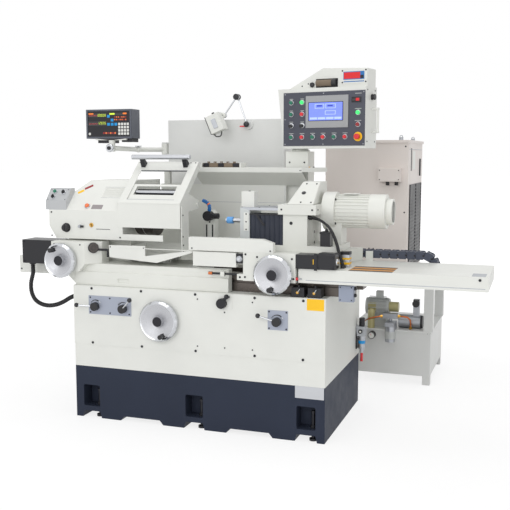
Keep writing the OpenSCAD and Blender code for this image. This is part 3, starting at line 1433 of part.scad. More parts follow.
// Chuck guard that swings up on its hinge bar
visor_y = work_y[0] - run_gap;
visor_low = 1115;
visor_knee = 1256;
visor_top = [-80, 1485];
stile_w = 46;
visor_plate_x = -461;
visor_boss_r = 14;
handle_y = -140;
handle_z = 1512;
handle_r = 14;
handle_x = [-500, -137];
grip_x = [-455, -185];
grip_w = 26;
visor_dir = unit(visor_top - [visor_y, visor_knee]);
visor_out = [visor_dir.y, -visor_dir.x];
visor_in = sheet_t / 2 * visor_out;
function visor_at(a, t) = [visor_y, visor_knee] + a * (visor_top - [visor_y, visor_knee]) + t * visor_out;
module visor_slope(x, a, b, t) side_slab(x,
    [visor_at(a, t[0]), visor_at(b, t[0]), visor_at(b, t[1]), visor_at(a, t[1])]);
visor_window_shares = [0.08, 0.78];
module chuck_guard() {
    color(white) difference() {
        union() {
            block(visor_x, [visor_y - sheet_t, visor_y], [visor_low, visor_knee + sheet_t / 3]);
            block([visor_plate_x, visor_x[1]], [visor_y - sheet_t, visor_y + 4 * sheet_t],
                [visor_knee - 3 * sheet_t, visor_knee + sheet_t / 3]);
            difference() {
                visor_slope(visor_x, -0.02, 1, [0, sheet_t]);
                visor_slope([visor_x[0] + stile_w, visor_x[1] - stile_w], visor_window_shares[0],
                    visor_window_shares[1], [-cut, sheet_t + cut]);
            }
            side_slab([visor_plate_x, visor_plate_x + sheet_t], [[visor_y - sheet_t / 2, visor_low],
                [-320, visor_low], [-285, 1222], [-90, 1222], [-90, 1262], [-320, 1266],
                [visor_y - sheet_t / 2, visor_knee - sheet_t]]);
            side_slab([visor_x[1] - sheet_t, visor_x[1]], [[visor_y - sheet_t / 2, visor_low],
                [-318, visor_low], [-290, 1200], [-90, 1215], [-90, 1262], [-230, 1305],
                [-54, 1454], visor_top + visor_in, [visor_y, visor_knee] + visor_in,
                [visor_y - sheet_t / 2, visor_knee - sheet_t]]);
            rod_x([visor_plate_x, visor_plate_x + visor_boss_r], hinge_bar_y, hinge_bar_z, visor_boss_r);
            rod_x([visor_x[1] - visor_boss_r, visor_x[1]], hinge_bar_y, hinge_bar_z, visor_boss_r);
        }
        rod_x([visor_plate_x - cut, visor_x[1] + cut], hinge_bar_y, hinge_bar_z,
            hinge_bar_r + shaft_gap);
    }
    color(light_grey) rod_x(handle_x, handle_y, handle_z, handle_r);
    color(dark_steel) for (x = grip_x) side_slab([x, x + grip_w], [[-118, 1449], [-88, 1475],
        [handle_y + handle_r / 2, handle_z - handle_r / 3], [handle_y - handle_r / 2, handle_z]]);
}

base_casting();
levelling_bolts();
bed_cabinet();
front_panel();
bed_casting();
table_ways();
control_plates();
feed_housing();
feed_motor();
conduit();
rear_cabinet();
cabinet_door();
splash_guard();
pendant_column();
hydraulic_tank();
pump_motor();
valve_stack();
copper_pipes();
control_cabinet();
air_unit();
limit_switches();
drip_tray();
table_saddle();
feed_plate();
front_guards();
servo_motors();
table_cover();
cable_chain();
wheelhead_housing();
belt_cover();
wheelhead_motor();
bellows();
quill_plate();
wheelhead_cables();
spindle_bearings();
drive_belt();
wheel_spindle();
grinding_wheel();
motor_rotor();
cross_handwheel();
table_handwheel();
workhead_handwheel();
workhead_slide();
workhead_housing();
work_spindle();
work_chuck();
chuck_guard();
dresser_arm();
left_lever();
second_lever();
reverse_lever();
right_lever();
pendant_box();
estop_button();
push_buttons();
dro_arm();
dro_unit();
lamp_lower_arm();
lamp_upper_arm();
lamp_head();
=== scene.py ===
"""Looks of the internal grinder: materials, detail pieces, studio light and camera round the CAD frame."""
import json
from math import atan2, cos, hypot, pi, radians, sin

import bmesh
import bpy
from mathutils import Matrix, Vector
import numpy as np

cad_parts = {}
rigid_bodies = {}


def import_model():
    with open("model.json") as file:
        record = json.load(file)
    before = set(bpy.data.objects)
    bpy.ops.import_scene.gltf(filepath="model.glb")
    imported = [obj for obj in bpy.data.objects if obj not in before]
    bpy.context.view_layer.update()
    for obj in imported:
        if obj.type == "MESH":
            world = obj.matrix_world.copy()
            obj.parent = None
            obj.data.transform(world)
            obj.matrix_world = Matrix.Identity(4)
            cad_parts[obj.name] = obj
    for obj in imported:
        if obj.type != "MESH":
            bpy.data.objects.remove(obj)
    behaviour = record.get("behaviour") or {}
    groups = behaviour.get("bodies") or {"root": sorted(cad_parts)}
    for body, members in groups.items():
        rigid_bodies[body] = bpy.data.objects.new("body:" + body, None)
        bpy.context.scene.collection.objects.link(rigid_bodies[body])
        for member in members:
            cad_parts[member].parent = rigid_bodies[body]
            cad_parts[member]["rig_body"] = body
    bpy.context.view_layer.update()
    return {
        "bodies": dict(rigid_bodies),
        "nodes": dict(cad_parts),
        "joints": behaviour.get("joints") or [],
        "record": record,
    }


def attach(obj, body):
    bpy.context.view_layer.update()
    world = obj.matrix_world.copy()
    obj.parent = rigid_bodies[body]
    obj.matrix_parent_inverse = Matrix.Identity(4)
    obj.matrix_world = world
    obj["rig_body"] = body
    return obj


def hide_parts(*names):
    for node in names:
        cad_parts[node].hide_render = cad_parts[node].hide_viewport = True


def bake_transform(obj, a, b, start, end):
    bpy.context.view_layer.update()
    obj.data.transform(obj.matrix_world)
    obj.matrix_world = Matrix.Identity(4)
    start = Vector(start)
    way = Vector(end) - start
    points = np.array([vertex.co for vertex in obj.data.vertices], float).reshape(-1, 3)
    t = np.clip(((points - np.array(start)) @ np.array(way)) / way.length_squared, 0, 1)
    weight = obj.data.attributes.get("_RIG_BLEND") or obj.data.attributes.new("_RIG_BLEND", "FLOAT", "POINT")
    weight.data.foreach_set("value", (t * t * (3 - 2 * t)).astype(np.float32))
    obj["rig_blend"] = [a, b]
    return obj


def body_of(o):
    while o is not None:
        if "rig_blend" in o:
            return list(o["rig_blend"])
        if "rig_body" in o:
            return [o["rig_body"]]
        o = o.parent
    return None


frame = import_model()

MM = 0.001
CORE = 0.05  # radius, in millimetres, at which a closed turned shape ends
NODES = frame["nodes"]
scene = bpy.context.scene


# materials
def srgb(r, g, b):
    """Display colour, 0 to 255, as the linear colour that a shader takes."""
    def one(c):
        c = c / 255
        return c / 12.92 if c <= 0.04045 else ((c + 0.055) / 1.055) ** 2.4
    return (one(r), one(g), one(b), 1.0)


def shade(c, k):
    return (c[0] * k, c[1] * k, c[2] * k, 1.0)


class Shader:
    """A node material with a few shorthands."""

    def __init__(self, name):
        self.mat = bpy.data.materials.new(name)
        self.mat.use_nodes = True
        self.tree = self.mat.node_tree
        self.bsdf = self.tree.nodes["Principled BSDF"]

    def node(self, kind, **values):
        made = self.tree.nodes.new(kind)
        for key, value in values.items():
            if hasattr(made, key):
                setattr(made, key, value)
            else:
                made.inputs[key.replace("_", " ")].default_value = value
        return made

    def link(self, a, b):
        self.tree.links.new(a, b)

    def coords(self, scale=(1, 1, 1), at=(0, 0, 0)):
        place = self.node("ShaderNodeTexCoord")
        move = self.node("ShaderNodeMapping")
        move.inputs["Scale"].default_value = scale
        move.inputs["Location"].default_value = [-a * s for a, s in zip(at, scale)]
        self.link(place.outputs["Object"], move.inputs["Vector"])
        return move.outputs["Vector"]

    def noise(self, vector, scale, detail=3.0, rough=0.5):
        made = self.node("ShaderNodeTexNoise", Scale=scale, Detail=detail, Roughness=rough)
        self.link(vector, made.inputs["Vector"])
        return made.outputs["Fac"]

    def ramp(self, value, low, high, a, b):
        made = self.node("ShaderNodeMapRange", From_Min=low, From_Max=high, To_Min=a, To_Max=b)
        self.link(value, made.inputs["Value"])
        return made.outputs["Result"]

    def mix(self, factor, a, b):
        made = self.node("ShaderNodeMix", data_type="RGBA")
        self.link(factor, made.inputs["Factor"])
        for socket, value in ((made.inputs[6], a), (made.inputs[7], b)):
            if isinstance(value, bpy.types.NodeSocket):
                self.link(value, socket)
            else:
                socket.default_value = value
        return made.outputs[2]

    def bump(self, height, strength, distance):
        made = self.node("ShaderNodeBump", Strength=strength, Distance=distance)
        self.link(height, made.inputs["Height"])
        self.link(made.outputs["Normal"], self.bsdf.inputs["Normal"])

    def tint(self, factor, colour, low, high):
        """Colour that runs from a darker to a lighter tone with the factor."""
        self.link(self.mix(factor, shade(colour, low), shade(colour, high)), self.bsdf.inputs["Base Color"])

    def uneven(self, factor, rough, less, more):
        self.link(self.ramp(factor, 0.3, 0.7, rough - less, rough + more), self.bsdf.inputs["Roughness"])

    def set(self, **values):
        for key, value in values.items():
            self.bsdf.inputs[key.replace("_", " ")].default_value = value


def paint(name, colour, rough=0.38, grain=420.0, bump=0.12, spread=0.035, metal=0.0, coat=0.0,
          gloss=0.5):
    """Enamel or moulded plastic: faint clouding, fine orange peel, uneven gloss."""
    s, colour = Shader(name), srgb(*colour)
    at = s.coords()
    cloud = s.noise(at, 2.3, 4.0, 0.6)
    s.tint(s.ramp(cloud, 0.3, 0.7, 0, 1), colour, 1 - spread, 1 + spread)
    s.uneven(s.noise(at, 9.0, 5.0, 0.65), rough, 0.06, 0.08)
    s.bump(s.noise(at, grain, 2.0), bump, 0.0004)
    s.set(Metallic=metal, Coat_Weight=coat, Specular_IOR_Level=gloss)
    return s.mat


def metal(name, colour, rough=0.3, along="x", strength=0.1, spread=0.12, metallic=1.0):
    """Machined or brushed metal: fine lines along one axis."""
    s, colour = Shader(name), srgb(*colour)
    stretch = {"x": (6, 700, 700), "y": (700, 6, 700), "z": (700, 700, 6)}[along]
    lines = s.noise(s.coords(stretch), 1.0, 4.0, 0.6)
    patch = s.noise(s.coords(), 14.0, 4.0, 0.6)
    s.tint(lines, colour, 1 - spread, 1 + spread)
    s.uneven(patch, rough, 0.05, 0.1)
    s.bump(lines, strength, 0.0003)
    s.set(Metallic=metallic)
    return s.mat


def turned(name, colour, at, pitch=900.0, rough=0.42, contrast=0.16):
    """Faced on a lathe: rings about an axis along Y through a point."""
    s, colour = Shader(name), srgb(*colour)
    flat = s.coords((1, 0, 1), (at[0] * MM, 0, at[1] * MM))
    rings = s.node("ShaderNodeTexWave", wave_type="RINGS", rings_direction="SPHERICAL", Scale=pitch,
                   Distortion=0.6, Detail=1.0)
    s.link(flat, rings.inputs["Vector"])
    fine = s.noise(s.coords(), 60.0, 3.0)
    s.tint(rings.outputs["Fac"], colour, 1 - contrast, 1 + contrast / 2)
    s.uneven(fine, rough, 0.06, 0.08)
    s.bump(rings.outputs["Fac"], 0.12, 0.0002)
    s.set(Metallic=0.55)
    return s.mat


def glow(name, colour, strength):
    """Lit display or lamp, uneven as behind a diffuser."""
    s, colour = Shader(name), srgb(*colour)
    cells = s.noise(s.coords(), 160.0, 2.0)
    lit = s.mix(cells, shade(colour, 0.82), colour)
    s.link(lit, s.bsdf.inputs["Base Color"])
    s.link(lit, s.bsdf.inputs["Emission Color"])
    s.set(Emission_Strength=strength, Roughness=0.3)
    return s.mat


WHITE = paint("white_enamel", (226, 227, 222))
CAST = paint("white_cast_enamel", (224, 225, 219), rough=0.42, grain=150.0, bump=0.22)
NAVY = paint("base_enamel", (47, 53, 68), rough=0.5, grain=180.0, bump=0.3, spread=0.08, gloss=0.15)
GREY = paint("cabinet_enamel", (220, 221, 219), rough=0.42)
BEIGE = paint("beige_enamel", (226, 218, 213), rough=0.42)
BOX_GREY = paint("button_box_enamel", (184, 186, 188), rough=0.36)
# Mauve grey of the blank nameplate; also the painted shade in the gaps of the workhead louvres.
TAG_AND_GAP_SHADE = paint("blank_tag_and_gap_shade", (150, 143, 144), rough=0.36)
PANEL = paint("panel_foil", (70, 72, 84), rough=0.45, grain=900.0, bump=0.08)
SLATE = paint("slate_enamel", (150, 158, 176), rough=0.4)
BLACK = paint("black_plastic", (34, 34, 37), rough=0.42, grain=600.0, bump=0.2, spread=0.12)
SATIN = paint("black_anodised", (38, 38, 42), rough=0.34, grain=300.0, bump=0.15, spread=0.1, metal=0.3)
RUBBER = paint("black_rubber", (28, 28, 31), rough=0.62, grain=260.0, bump=0.3, spread=0.15)
CHAIN = paint("chain_plastic", (62, 68, 84), rough=0.5, grain=400.0, bump=0.2, spread=0.1)
CLOTH = paint("bellows_cloth", (44, 49, 62), rough=0.6, grain=700.0, bump=0.5, spread=0.15)
OLIVE = paint("olive_paint", (186, 178, 128), rough=0.35, spread=0.1)
PALEGREY = paint("motor_enamel", (190, 193, 191), rough=0.45, spread=0.05)
BUTTON_FINISH = {"rough": 0.25, "grain": 900.0, "bump": 0.05, "coat": 0.4}
RED = paint("red_plastic", (222, 32, 44), **BUTTON_FINISH)
DARKRED = paint("dark_red_plastic", (150, 22, 30), **BUTTON_FINISH)
GREEN = paint("green_plastic", (0, 112, 84), **BUTTON_FINISH)
YELLOW = paint("yellow_plate", (250, 196, 20), rough=0.4)
ORANGE = paint("orange_plastic", (240, 118, 60), rough=0.28, coat=0.3)
BLUE = paint("blue_plastic", (30, 110, 180), rough=0.32)
CYAN = paint("cyan_ring", (20, 150, 220), rough=0.32)
ABRASIVE = paint("abrasive_blue", (108, 170, 232), rough=0.8, grain=1400.0, bump=0.9, spread=0.12)
STONE = paint("abrasive_brown", (122, 108, 92), rough=0.85, grain=1400.0, bump=0.9, spread=0.25)
STEEL = metal("machined_steel", (186, 187, 190), 0.26)
CHROME = metal("polished_steel", (206, 208, 212), 0.12, "y", 0.03, 0.06)
DARK = metal("dark_steel", (92, 88, 86), 0.36, "x", 0.2, 0.2)
WAYS = metal("ground_ways", (96, 90, 86), 0.3, "x", 0.25, 0.2)
ALU = metal("brushed_aluminium", (196, 198, 202), 0.36, "x", 0.12, 0.08)
# Cast aluminium; also the painted shadow line at the step on the table cover's front.
SILVER_AND_STEP_SHADE = metal("cast_aluminium_and_step_shade", (176, 179, 184), 0.42, "z", 0.2, 0.12)
PLATE = metal("lever_plate", (164, 170, 184), 0.42, "x", 0.1, 0.05, 0.35)
COPPER = metal("copper_pipe", (200, 118, 76), 0.28, "y", 0.1, 0.15)
BRASS = metal("brass", (206, 160, 78), 0.25, "y", 0.1, 0.12)
BOLT = metal("bolt_black", (52, 52, 56), 0.4, "y", 0.2, 0.2, 0.8)
BEZEL = paint("bezel_grey", (160, 161, 163), rough=0.38)
SCREEN = glow("screen_blue", (118, 136, 240), 0.55)
SCREEN_DARK = glow("screen_dark_blue", (58, 76, 190), 0.35)
SCREEN_LIGHT = glow("screen_pale_blue", (176, 196, 250), 0.5)
LED_GREEN = glow("lit_green", (60, 230, 110), 0.9)
LED_RED = glow("lit_red", (205, 26, 34), 0.3)
DIGIT = glow("digit_green", (196, 220, 60), 0.8)
DIGIT_ORANGE = glow("digit_orange", (230, 120, 40), 0.6)
EMITTER = glow("lamp_emitter", (120, 122, 126), 0.1)
SMOKED = paint("smoked_window", (30, 26, 28), rough=0.12, grain=900.0, bump=0.02, coat=0.8)


# mesh helpers
FRONT, BACK = (0, -1, 0), (0, 1, 0)
LEFT, RIGHT = (-1, 0, 0), (1, 0, 0)
DOWN, UP = (0, 0, -1), (0, 0, 1)


def around(n, count=None):
    """Angles in n even steps round a circle, count of them."""
    return [2 * pi * i / n for i in range(count or n)]


def placed(at, angle, axis="X"):
    """Frame at a point, turned about one axis."""
    return Matrix.Translation(at) @ Matrix.Rotation(angle, 4, axis)


def circle(c, r, u, w, n):
    """Points round a centre, in the plane of two directions."""
    return [c + r * (cos(a) * u + sin(a) * w) for a in around(n)]


def carried(points, first=None):
    """Each point of a line with two directions across it, carried on without twist."""
    u = None
    for i, p in enumerate(points):
        d = (points[min(i + 1, len(points) - 1)] - points[max(i - 1, 0)]).normalized()
        if u is None:
            u = d.orthogonal().normalized() if first is None else first
        else:
            u = (u - d * u.dot(d)).normalized()
        yield p, u, d.cross(u)


def many(value):
    return value if isinstance(value, tuple) else (value,)


def smooth_group():
    """A modifier's node group that sets every face smooth."""
    group = bpy.data.node_groups.new("smooth_faces", "GeometryNodeTree")
    group.interface.new_socket("Geometry", in_out="INPUT", socket_type="NodeSocketGeometry")
    group.interface.new_socket("Geometry", in_out="OUTPUT", socket_type="NodeSocketGeometry")
    start, end = group.nodes.new("NodeGroupInput"), group.nodes.new("NodeGroupOutput")
    made = group.nodes.new("GeometryNodeSetShadeSmooth")
    group.links.new(start.outputs[0], made.inputs["Geometry"])
    group.links.new(made.outputs["Geometry"], end.inputs[0])
    return group


SMOOTH = smooth_group()


def soften(obj, width, segments=2, clean=True):
    """Round edges: merge, dissolve flat faces, bevel the sharp edges and weight the normals."""
    if clean:
        weld = obj.modifiers.new("weld", "WELD")
        weld.merge_threshold = 2e-5
        flat = obj.modifiers.new("flat", "DECIMATE")
        flat.decimate_type = "DISSOLVE"
        flat.angle_limit = radians(0.6)
    if width:
        bevel = obj.modifiers.new("bevel", "BEVEL")
        bevel.width = width * MM
        bevel.segments = segments
        bevel.limit_method = "ANGLE"
        bevel.angle_limit = radians(38)
        bevel.miter_outer = "MITER_ARC"
    smooth = obj.modifiers.new("smooth", "NODES")
    smooth.node_group = SMOOTH
    normals = obj.modifiers.new("normals", "WEIGHTED_NORMAL")
    normals.keep_sharp = False
    normals.weight = 80


class Piece:
    """Collects solids, in millimetres, into one mesh that rides on a body."""

    def __init__(self, name, body, slot=None, bevel=0.6, frame=None):
        self.name, self.body, self.slot, self.width = name, body, slot, bevel
        self.bm = bmesh.new()
        self.mats = []
        self.frame = frame or Matrix.Identity(4)

    def index(self, mat):
        if mat not in self.mats:
            self.mats.append(mat)
        return self.mats.index(mat)

    def faces(self, rings, mat, closed=False, caps=True):
        """Skin over rings of points."""
        k = self.index(mat)
        rows = [[self.bm.verts.new(self.frame @ Vector(p)) for p in ring] for ring in rings]
        n = len(rows[0])
        made = []
        pairs = list(zip(rows, rows[1:])) + ([(rows[-1], rows[0])] if closed else [])
        for a, b in pairs:
            for i in range(n):
                made.append(self.bm.faces.new((a[i], a[(i + 1) % n], b[(i + 1) % n], b[i])))
        if caps and not closed:
            made.append(self.bm.faces.new(rows[0][::-1]))
            made.append(self.bm.faces.new(rows[-1]))
        for f in made:
            f.material_index = k
        return self

    def box(self, x, y, z, mat):
        low = [(x[0], y[0], z[0]), (x[1], y[0], z[0]), (x[1], y[1], z[0]), (x[0], y[1], z[0])]
        return self.faces([low, [(a, b, z[1]) for a, b, _ in low]], mat)

    def slab(self, axis, span, outline, mat):
        """Outline in the other two axes, drawn out along one."""
        def put(v, p):
            return {"x": (v, p[0], p[1]), "y": (p[0], v, p[1]), "z": (p[0], p[1], v)}[axis]
        return self.faces([[put(v, p) for p in outline] for v in span], mat)

    def rod(self, p, q, r, mat, n=24, r2=None):
        return self.lathe([(0, r), (1, r if r2 is None else r2)], p, q, mat, n, share=True)

    def lathe(self, profile, p, q, mat, n=32, share=False):
        """Profile of (distance, radius) about the line from p to q."""
        p, q = Vector(p), Vector(q)
        d = (q - p).normalized()
        k = (q - p).length if share else 1.0
        u = d.orthogonal().normalized()
        w = d.cross(u)
        return self.faces([circle(p + d * t * k, r, u, w, n) for t, r in profile], mat)

    def turn(self, profile, at, way, mat, n=32):
        """Profile of (distance, radius) from a point, along a direction."""
        return self.lathe(profile, at, Vector(at) + Vector(way), mat, n)

    def stud(self, at, way, r, h, mat, n=32):
        """Plain round end."""
        self.turn([(0, r), (h, r), (h, CORE)], at, way, mat, n)

    def screw(self, at, way, r=6.0, h=3.0, mat=None):
        """Cap screw with a hexagonal socket: its foot, and the direction that it points."""
        self.turn([(0, r), (h * 0.8, r), (h, r * 0.86), (h, r * 0.5), (h * 0.35, r * 0.5), (h * 0.35, CORE)],
                  at, way, mat or BOLT, 18)

    def screws(self, xs, ys, zs, way, r=6.0, h=3.0):
        """A screw at every mix of the given places."""
        for x in many(xs):
            for y in many(ys):
                for z in many(zs):
                    self.screw((x, y, z), way, r, h)

    def sweep(self, points, r, mat, n=12):
        """Round bar along points."""
        line = [Vector(p) for p in points]
        return self.faces([circle(p, r, u, w, n) for p, u, w in carried(line)], mat)

    def done(self):
        mesh = bpy.data.meshes.new(self.name)
        bmesh.ops.recalc_face_normals(self.bm, faces=self.bm.faces)
        bmesh.ops.scale(self.bm, vec=(MM, MM, MM), verts=self.bm.verts)
        self.bm.to_mesh(mesh)
        self.bm.free()
        for mat in self.mats:
            mesh.materials.append(mat)
        obj = bpy.data.objects.new(self.name, mesh)
        scene.collection.objects.link(obj)
        soften(obj, self.width, clean=False)
        if self.body:
            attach(obj, self.body)
        return obj


def spline(points, steps=6):
    """Catmull-Rom points through the given ones."""
    pts = [Vector(p) for p in points]
    out = []
    for i in range(len(pts) - 1):
        a, b, c, d = pts[max(i - 1, 0)], pts[i], pts[i + 1], pts[min(i + 2, len(pts) - 1)]
        for k in range(steps):
            t = k / steps
            out.append(0.5 * ((2 * b) + (c - a) * t + (2 * a - 5 * b + 4 * c - d) * t * t
                              + (3 * b - a - 3 * c + d) * t ** 3))
    out.append(pts[-1])
    return out


def dress(node, mat, width=1.5, segments=2):
    """A CAD node keeps its shape and gets its material and round edges."""
    obj = NODES[node]
    if not obj.material_slots:
        obj.data.materials.append(None)
    for s in obj.material_slots:
        s.link = "OBJECT"
        s.material = mat
    soften(obj, width, segments)


def recolour(node, base, rules, width=1.0, segments=2):
    """A copy of a CAD node with several finishes. Each rule is a test on a face's centre, in
    millimetres, and normal; the last rule that holds gives the material."""
    source = NODES[node]
    obj = bpy.data.objects.new("dressed_" + node, source.data.copy())
    scene.collection.objects.link(obj)
    mesh = obj.data
    mesh.materials.clear()
    mats = [base] + [m for m, _ in rules]
    for m in mats:
        mesh.materials.append(m)
    for face in mesh.polygons:
        c, n = face.center / MM, face.normal
        pick = 0
        for i, (_, test) in enumerate(rules):
            if test(c, n):
                pick = i + 1
        face.material_index = pick
    soften(obj, width, segments)
    for m in obj.modifiers:
        if m.type == "DECIMATE":
            m.delimit = {"MATERIAL"}
    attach(obj, body_of(source)[0])
    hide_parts(node)
    return obj


def within(x=None, y=None, z=None):
    def test(c, _n):
        return all(s is None or s[0] - 0.02 <= v <= s[1] + 0.02 for s, v in zip((x, y, z), c))
    return test


# values shared with the source, in millimetres
PANEL_Y = -424
PLATE_Y = -440
SPINDLE_Y, SPINDLE_Z = -200, 1160
MOTOR_Y, MOTOR_Z = -110, 1220
CONDUIT_Y = -330
COVER_TOP = 933
COLUMN_X, COLUMN_Y = 386, 346
PENDANT_TURN = radians(11.4)
PEND = placed((COLUMN_X, COLUMN_Y, 0), -PENDANT_TURN, "Z")
PEND_BACK = PEND.inverted()
FACE_Y = -139
FACE_X0, FACE_Z0, FACE_W, FACE_H = -41, 1577, 523, 310


def local(c):
    return PEND_BACK @ Vector(c)


# CAD nodes that keep one finish
for node, mat, width in (
        ("base_casting", NAVY, 3), ("levelling_bolts", BOLT, 0.8), ("bed_cabinet", WHITE, 3),
        ("bed_casting", CAST, 3), ("table_ways", WAYS, 1), ("rear_cabinet", GREY, 2),
        ("cabinet_door", GREY, 2), ("pendant_column", WHITE, 2), ("hydraulic_tank", GREY, 1.5),
        ("copper_pipes", COPPER, 0), ("drip_tray", WHITE, 0.7), ("table_saddle", CAST, 2),
        ("table_cover", WHITE, 1), ("wheelhead_housing", CAST, 3), ("belt_cover", CAST, 6),
        ("wheelhead_motor", CAST, 1.5), ("bellows", CLOTH, 1.5), ("spindle_bearings", STEEL, 1),
        ("drive_belt", RUBBER, 0), ("wheel_spindle", STEEL, 0.6), ("grinding_wheel", ABRASIVE, 1.5),
        ("motor_rotor", DARK, 0.6), ("workhead_slide", CAST, 2), ("work_spindle", STEEL, 0.8),
        ("work_chuck", DARK, 1.5), ("dro_arm", WHITE, 0.8)):
    dress(node, mat, width)


# CAD nodes with several finishes
recolour("front_panel", WHITE, [(BOLT, lambda c, n: c.y < PANEL_Y - 0.05)], 0.8)
recolour("control_plates", PLATE, [
    (YELLOW, within(x=(649, 742), z=(716, 778))),
    (ALU, within(x=(586, 745), z=(239, 305)))], 0.4)
recolour("feed_housing", CAST, [
    (BOLT, lambda c, n: (c.x + 626) - (c.y + 404) > 0.4 and 960 < c.z < 1030 and c.x > -660),
    (SATIN, lambda c, n: 945 < c.z < 993 and c.x > -600 and -395.1 < c.y < -382.9)], 2)
recolour("feed_motor", SATIN, [(WHITE, within(y=(-262.05, -256)))], 2)
recolour("splash_guard", WHITE, [
    (STONE, lambda c, n: c.z > 1450.5 and -166 < c.x < 71),
    (WHITE, lambda c, n: c.z < 1450.5)], 0.8)
recolour("pump_motor", PALEGREY, [
    (OLIVE, lambda c, n: c.x > 838.1 or (c.y < 950 and 700 < c.x < 755))], 1)
recolour("valve_stack", SILVER_AND_STEP_SHADE, [
    (BLACK, lambda c, n: c.x > 1050.05 or (c.x < 770 and c.z < 360)
     or (c.y < 977.6 and c.x > 990 and c.z > 500))], 1)
recolour("control_cabinet", BEIGE, [
    (GREY, lambda c, n: c.z < 690.05),
    (BLACK, lambda c, n: c.x > 959.05 and c.x < 963.5 and 755 < c.z < 1335),
    (RUBBER, lambda c, n: c.z < 1351.9 and c.z > 1320 and c.y < 899.9),
    (SILVER_AND_STEP_SHADE, lambda c, n: c.z > 1622.05)], 1.5)
recolour("air_unit", SILVER_AND_STEP_SHADE, [
    (SATIN, lambda c, n: c.z > 490.05 or (c.x < 758.1 and c.z < 430)),
    (RED, lambda c, n: c.z < 325.05 and c.x > 770)], 1)
recolour("limit_switches", SATIN, [(SLATE, within(x=(805, 885)))], 2)
recolour("feed_plate", CAST, [
    (SATIN, lambda c, n: c.x < 264.9 and abs(c.y + 425) < 6.2 and abs(c.z - 888) < 6.2),
    (COPPER, lambda c, n: c.x < 118.1)], 1.2)
recolour("front_guards", WHITE, [
    (SATIN, lambda c, n: c.x > 260.05 and c.z < 1000.05 and c.y < -409),
    (CHROME, lambda c, n: c.x > 260.05 and c.z < 1000.05 and c.y > -409.9 and abs(c.z - 975) < 18.1)],
    0.8)
recolour("servo_motors", SATIN, [
    (ALU, within(x=(790, 842), y=(-290, -240))),
    (CHROME, lambda c, n: c.x > 800.05 and c.x < 820 and c.y < -340)], 3)
recolour("quill_plate", paint("quill_paint", (202, 206, 206), rough=0.4), [
    (WHITE, lambda c, n: c.z > 1240.05),
    (SILVER_AND_STEP_SHADE, lambda c, n: 1225.1 < c.z < 1240.1)], 1)
recolour("workhead_housing", WHITE, [
    (BOX_GREY, lambda c, n: c.x < -829.9 and c.z > 1206.02 and c.y < -249.9
     and abs(n.z - 0.707) > 0.03 and abs(n.z - 0.74) > 0.02)], 1.5)
recolour("chuck_guard", WHITE, [
    (SATIN, lambda c, n: c.z > 1448 and 0.763 * (c.z - 1256) - 0.646 * (c.y + 350.3) > 3.05),
    (ALU, lambda c, n: hypot(c.y + 140, c.z - 1512) < 14.1)], 0.8)
recolour("dresser_arm", SATIN, [(BLUE, lambda c, n: c.z > 1193.4)], 0.6)
for node, hub in (("left_lever", (-604, 663)), ("second_lever", (-427, 659)), ("right_lever", (487, 645))):
    recolour(node, BLACK, [
        (CHROME, lambda c, n, h=hub: 24.3 < hypot(c.x - h[0], c.z - h[1]) < 88)],
        0.8)
recolour("reverse_lever", SATIN, [(BOLT, lambda c, n: c.z > 775)], 1)

for node, x, z, back, radius, angle in (("table_handwheel", -197, 606, -430, 115, -70),
                                        ("cross_handwheel", 473, 900, -446, 105, -94),
                                        ("workhead_handwheel", -808, 924, -446, 100, 120)):
    ringed = turned("faced_" + node, (196, 197, 201), (x, z))
    kx = x + (radius - 30) * cos(radians(angle))
    kz = z + (radius - 30) * sin(radians(angle))
    recolour(node, ringed, [
        (CHROME, lambda c, n, x=x, z=z, r=radius: hypot(c.x - x, c.z - z) > r - 17),
        (BOLT, lambda c, n, x=x, z=z, b=back: c.y < b - 39.9 and hypot(c.x - x, c.z - z) < 28.2),
        (BLACK, lambda c, n, kx=kx, kz=kz, b=back: c.y < b - 16 and hypot(c.x - kx, c.z - kz) < 15)],
        1)

recolour("pendant_box", WHITE, [
    (PANEL, lambda c, n: local(c).y < FACE_Y + 3.8),
    (BLACK, lambda c, n: local(c).y < FACE_Y - 0.05)], 1)
recolour("estop_button", RED, [(BLACK, lambda c, n: local(c).y > FACE_Y - 3.9)], 2)

BUTTON_X = [FACE_X0 + s * FACE_W for s in (0.1, 0.237, 0.371, 0.5, 0.633, 0.766)]
LAMP_X = FACE_X0 + 0.917 * FACE_W
TOP_Z = [FACE_Z0 + s * FACE_H for s in (0.815, 0.595)]
LOW_Z = FACE_Z0 + 0.165 * FACE_H
LAMP_Z = [FACE_Z0 + s * FACE_H for s in (0.6, 0.385)]
BUTTONS = ([(BUTTON_X[0], TOP_Z[0], GREEN), (BUTTON_X[0], TOP_Z[1], GREEN),
            (BUTTON_X[1], TOP_Z[0], LED_GREEN), (BUTTON_X[1], TOP_Z[1], RED)]
           + [(x, LOW_Z, GREEN if i % 2 == 0 else RED) for i, x in enumerate(BUTTON_X)]
           + [(LAMP_X, LAMP_Z[0], LED_GREEN), (LAMP_X, LAMP_Z[1], DARKRED)])
recolour("push_buttons", CHROME, [
    (mat, lambda c, n, x=x, z=z: hypot(local(c).x - x, c.z - z) < 11.3 and local(c).y < FACE_Y - 4.1)
    for x, z, mat in BUTTONS], 1.5)
recolour("dro_unit", SATIN, [(WHITE, lambda c, n: c.z < 1627.9)], 3)
for node in ("lamp_lower_arm", "lamp_upper_arm"):
    dress(node, CHROME, 1.5)
dress("lamp_head", WHITE, 6, 3)


# details on the base and the bed
p = Piece("panel_fasteners", "base", "dark_steel", 0.2)
for x, z in ((28, 740), (187, 676), (26, 477), (187, 479), (347, 740), (347, 480)):
    p.screw((x, PANEL_Y + 0.2, z), FRONT, 4, 2)
p.screws((-638, -512, -390), PANEL_Y - 3, (628, 713), FRONT, 4.5, 2.5)
p.screws((442, 538), PANEL_Y - 3, (607, 697), FRONT, 4.5, 2.5)
p.done()

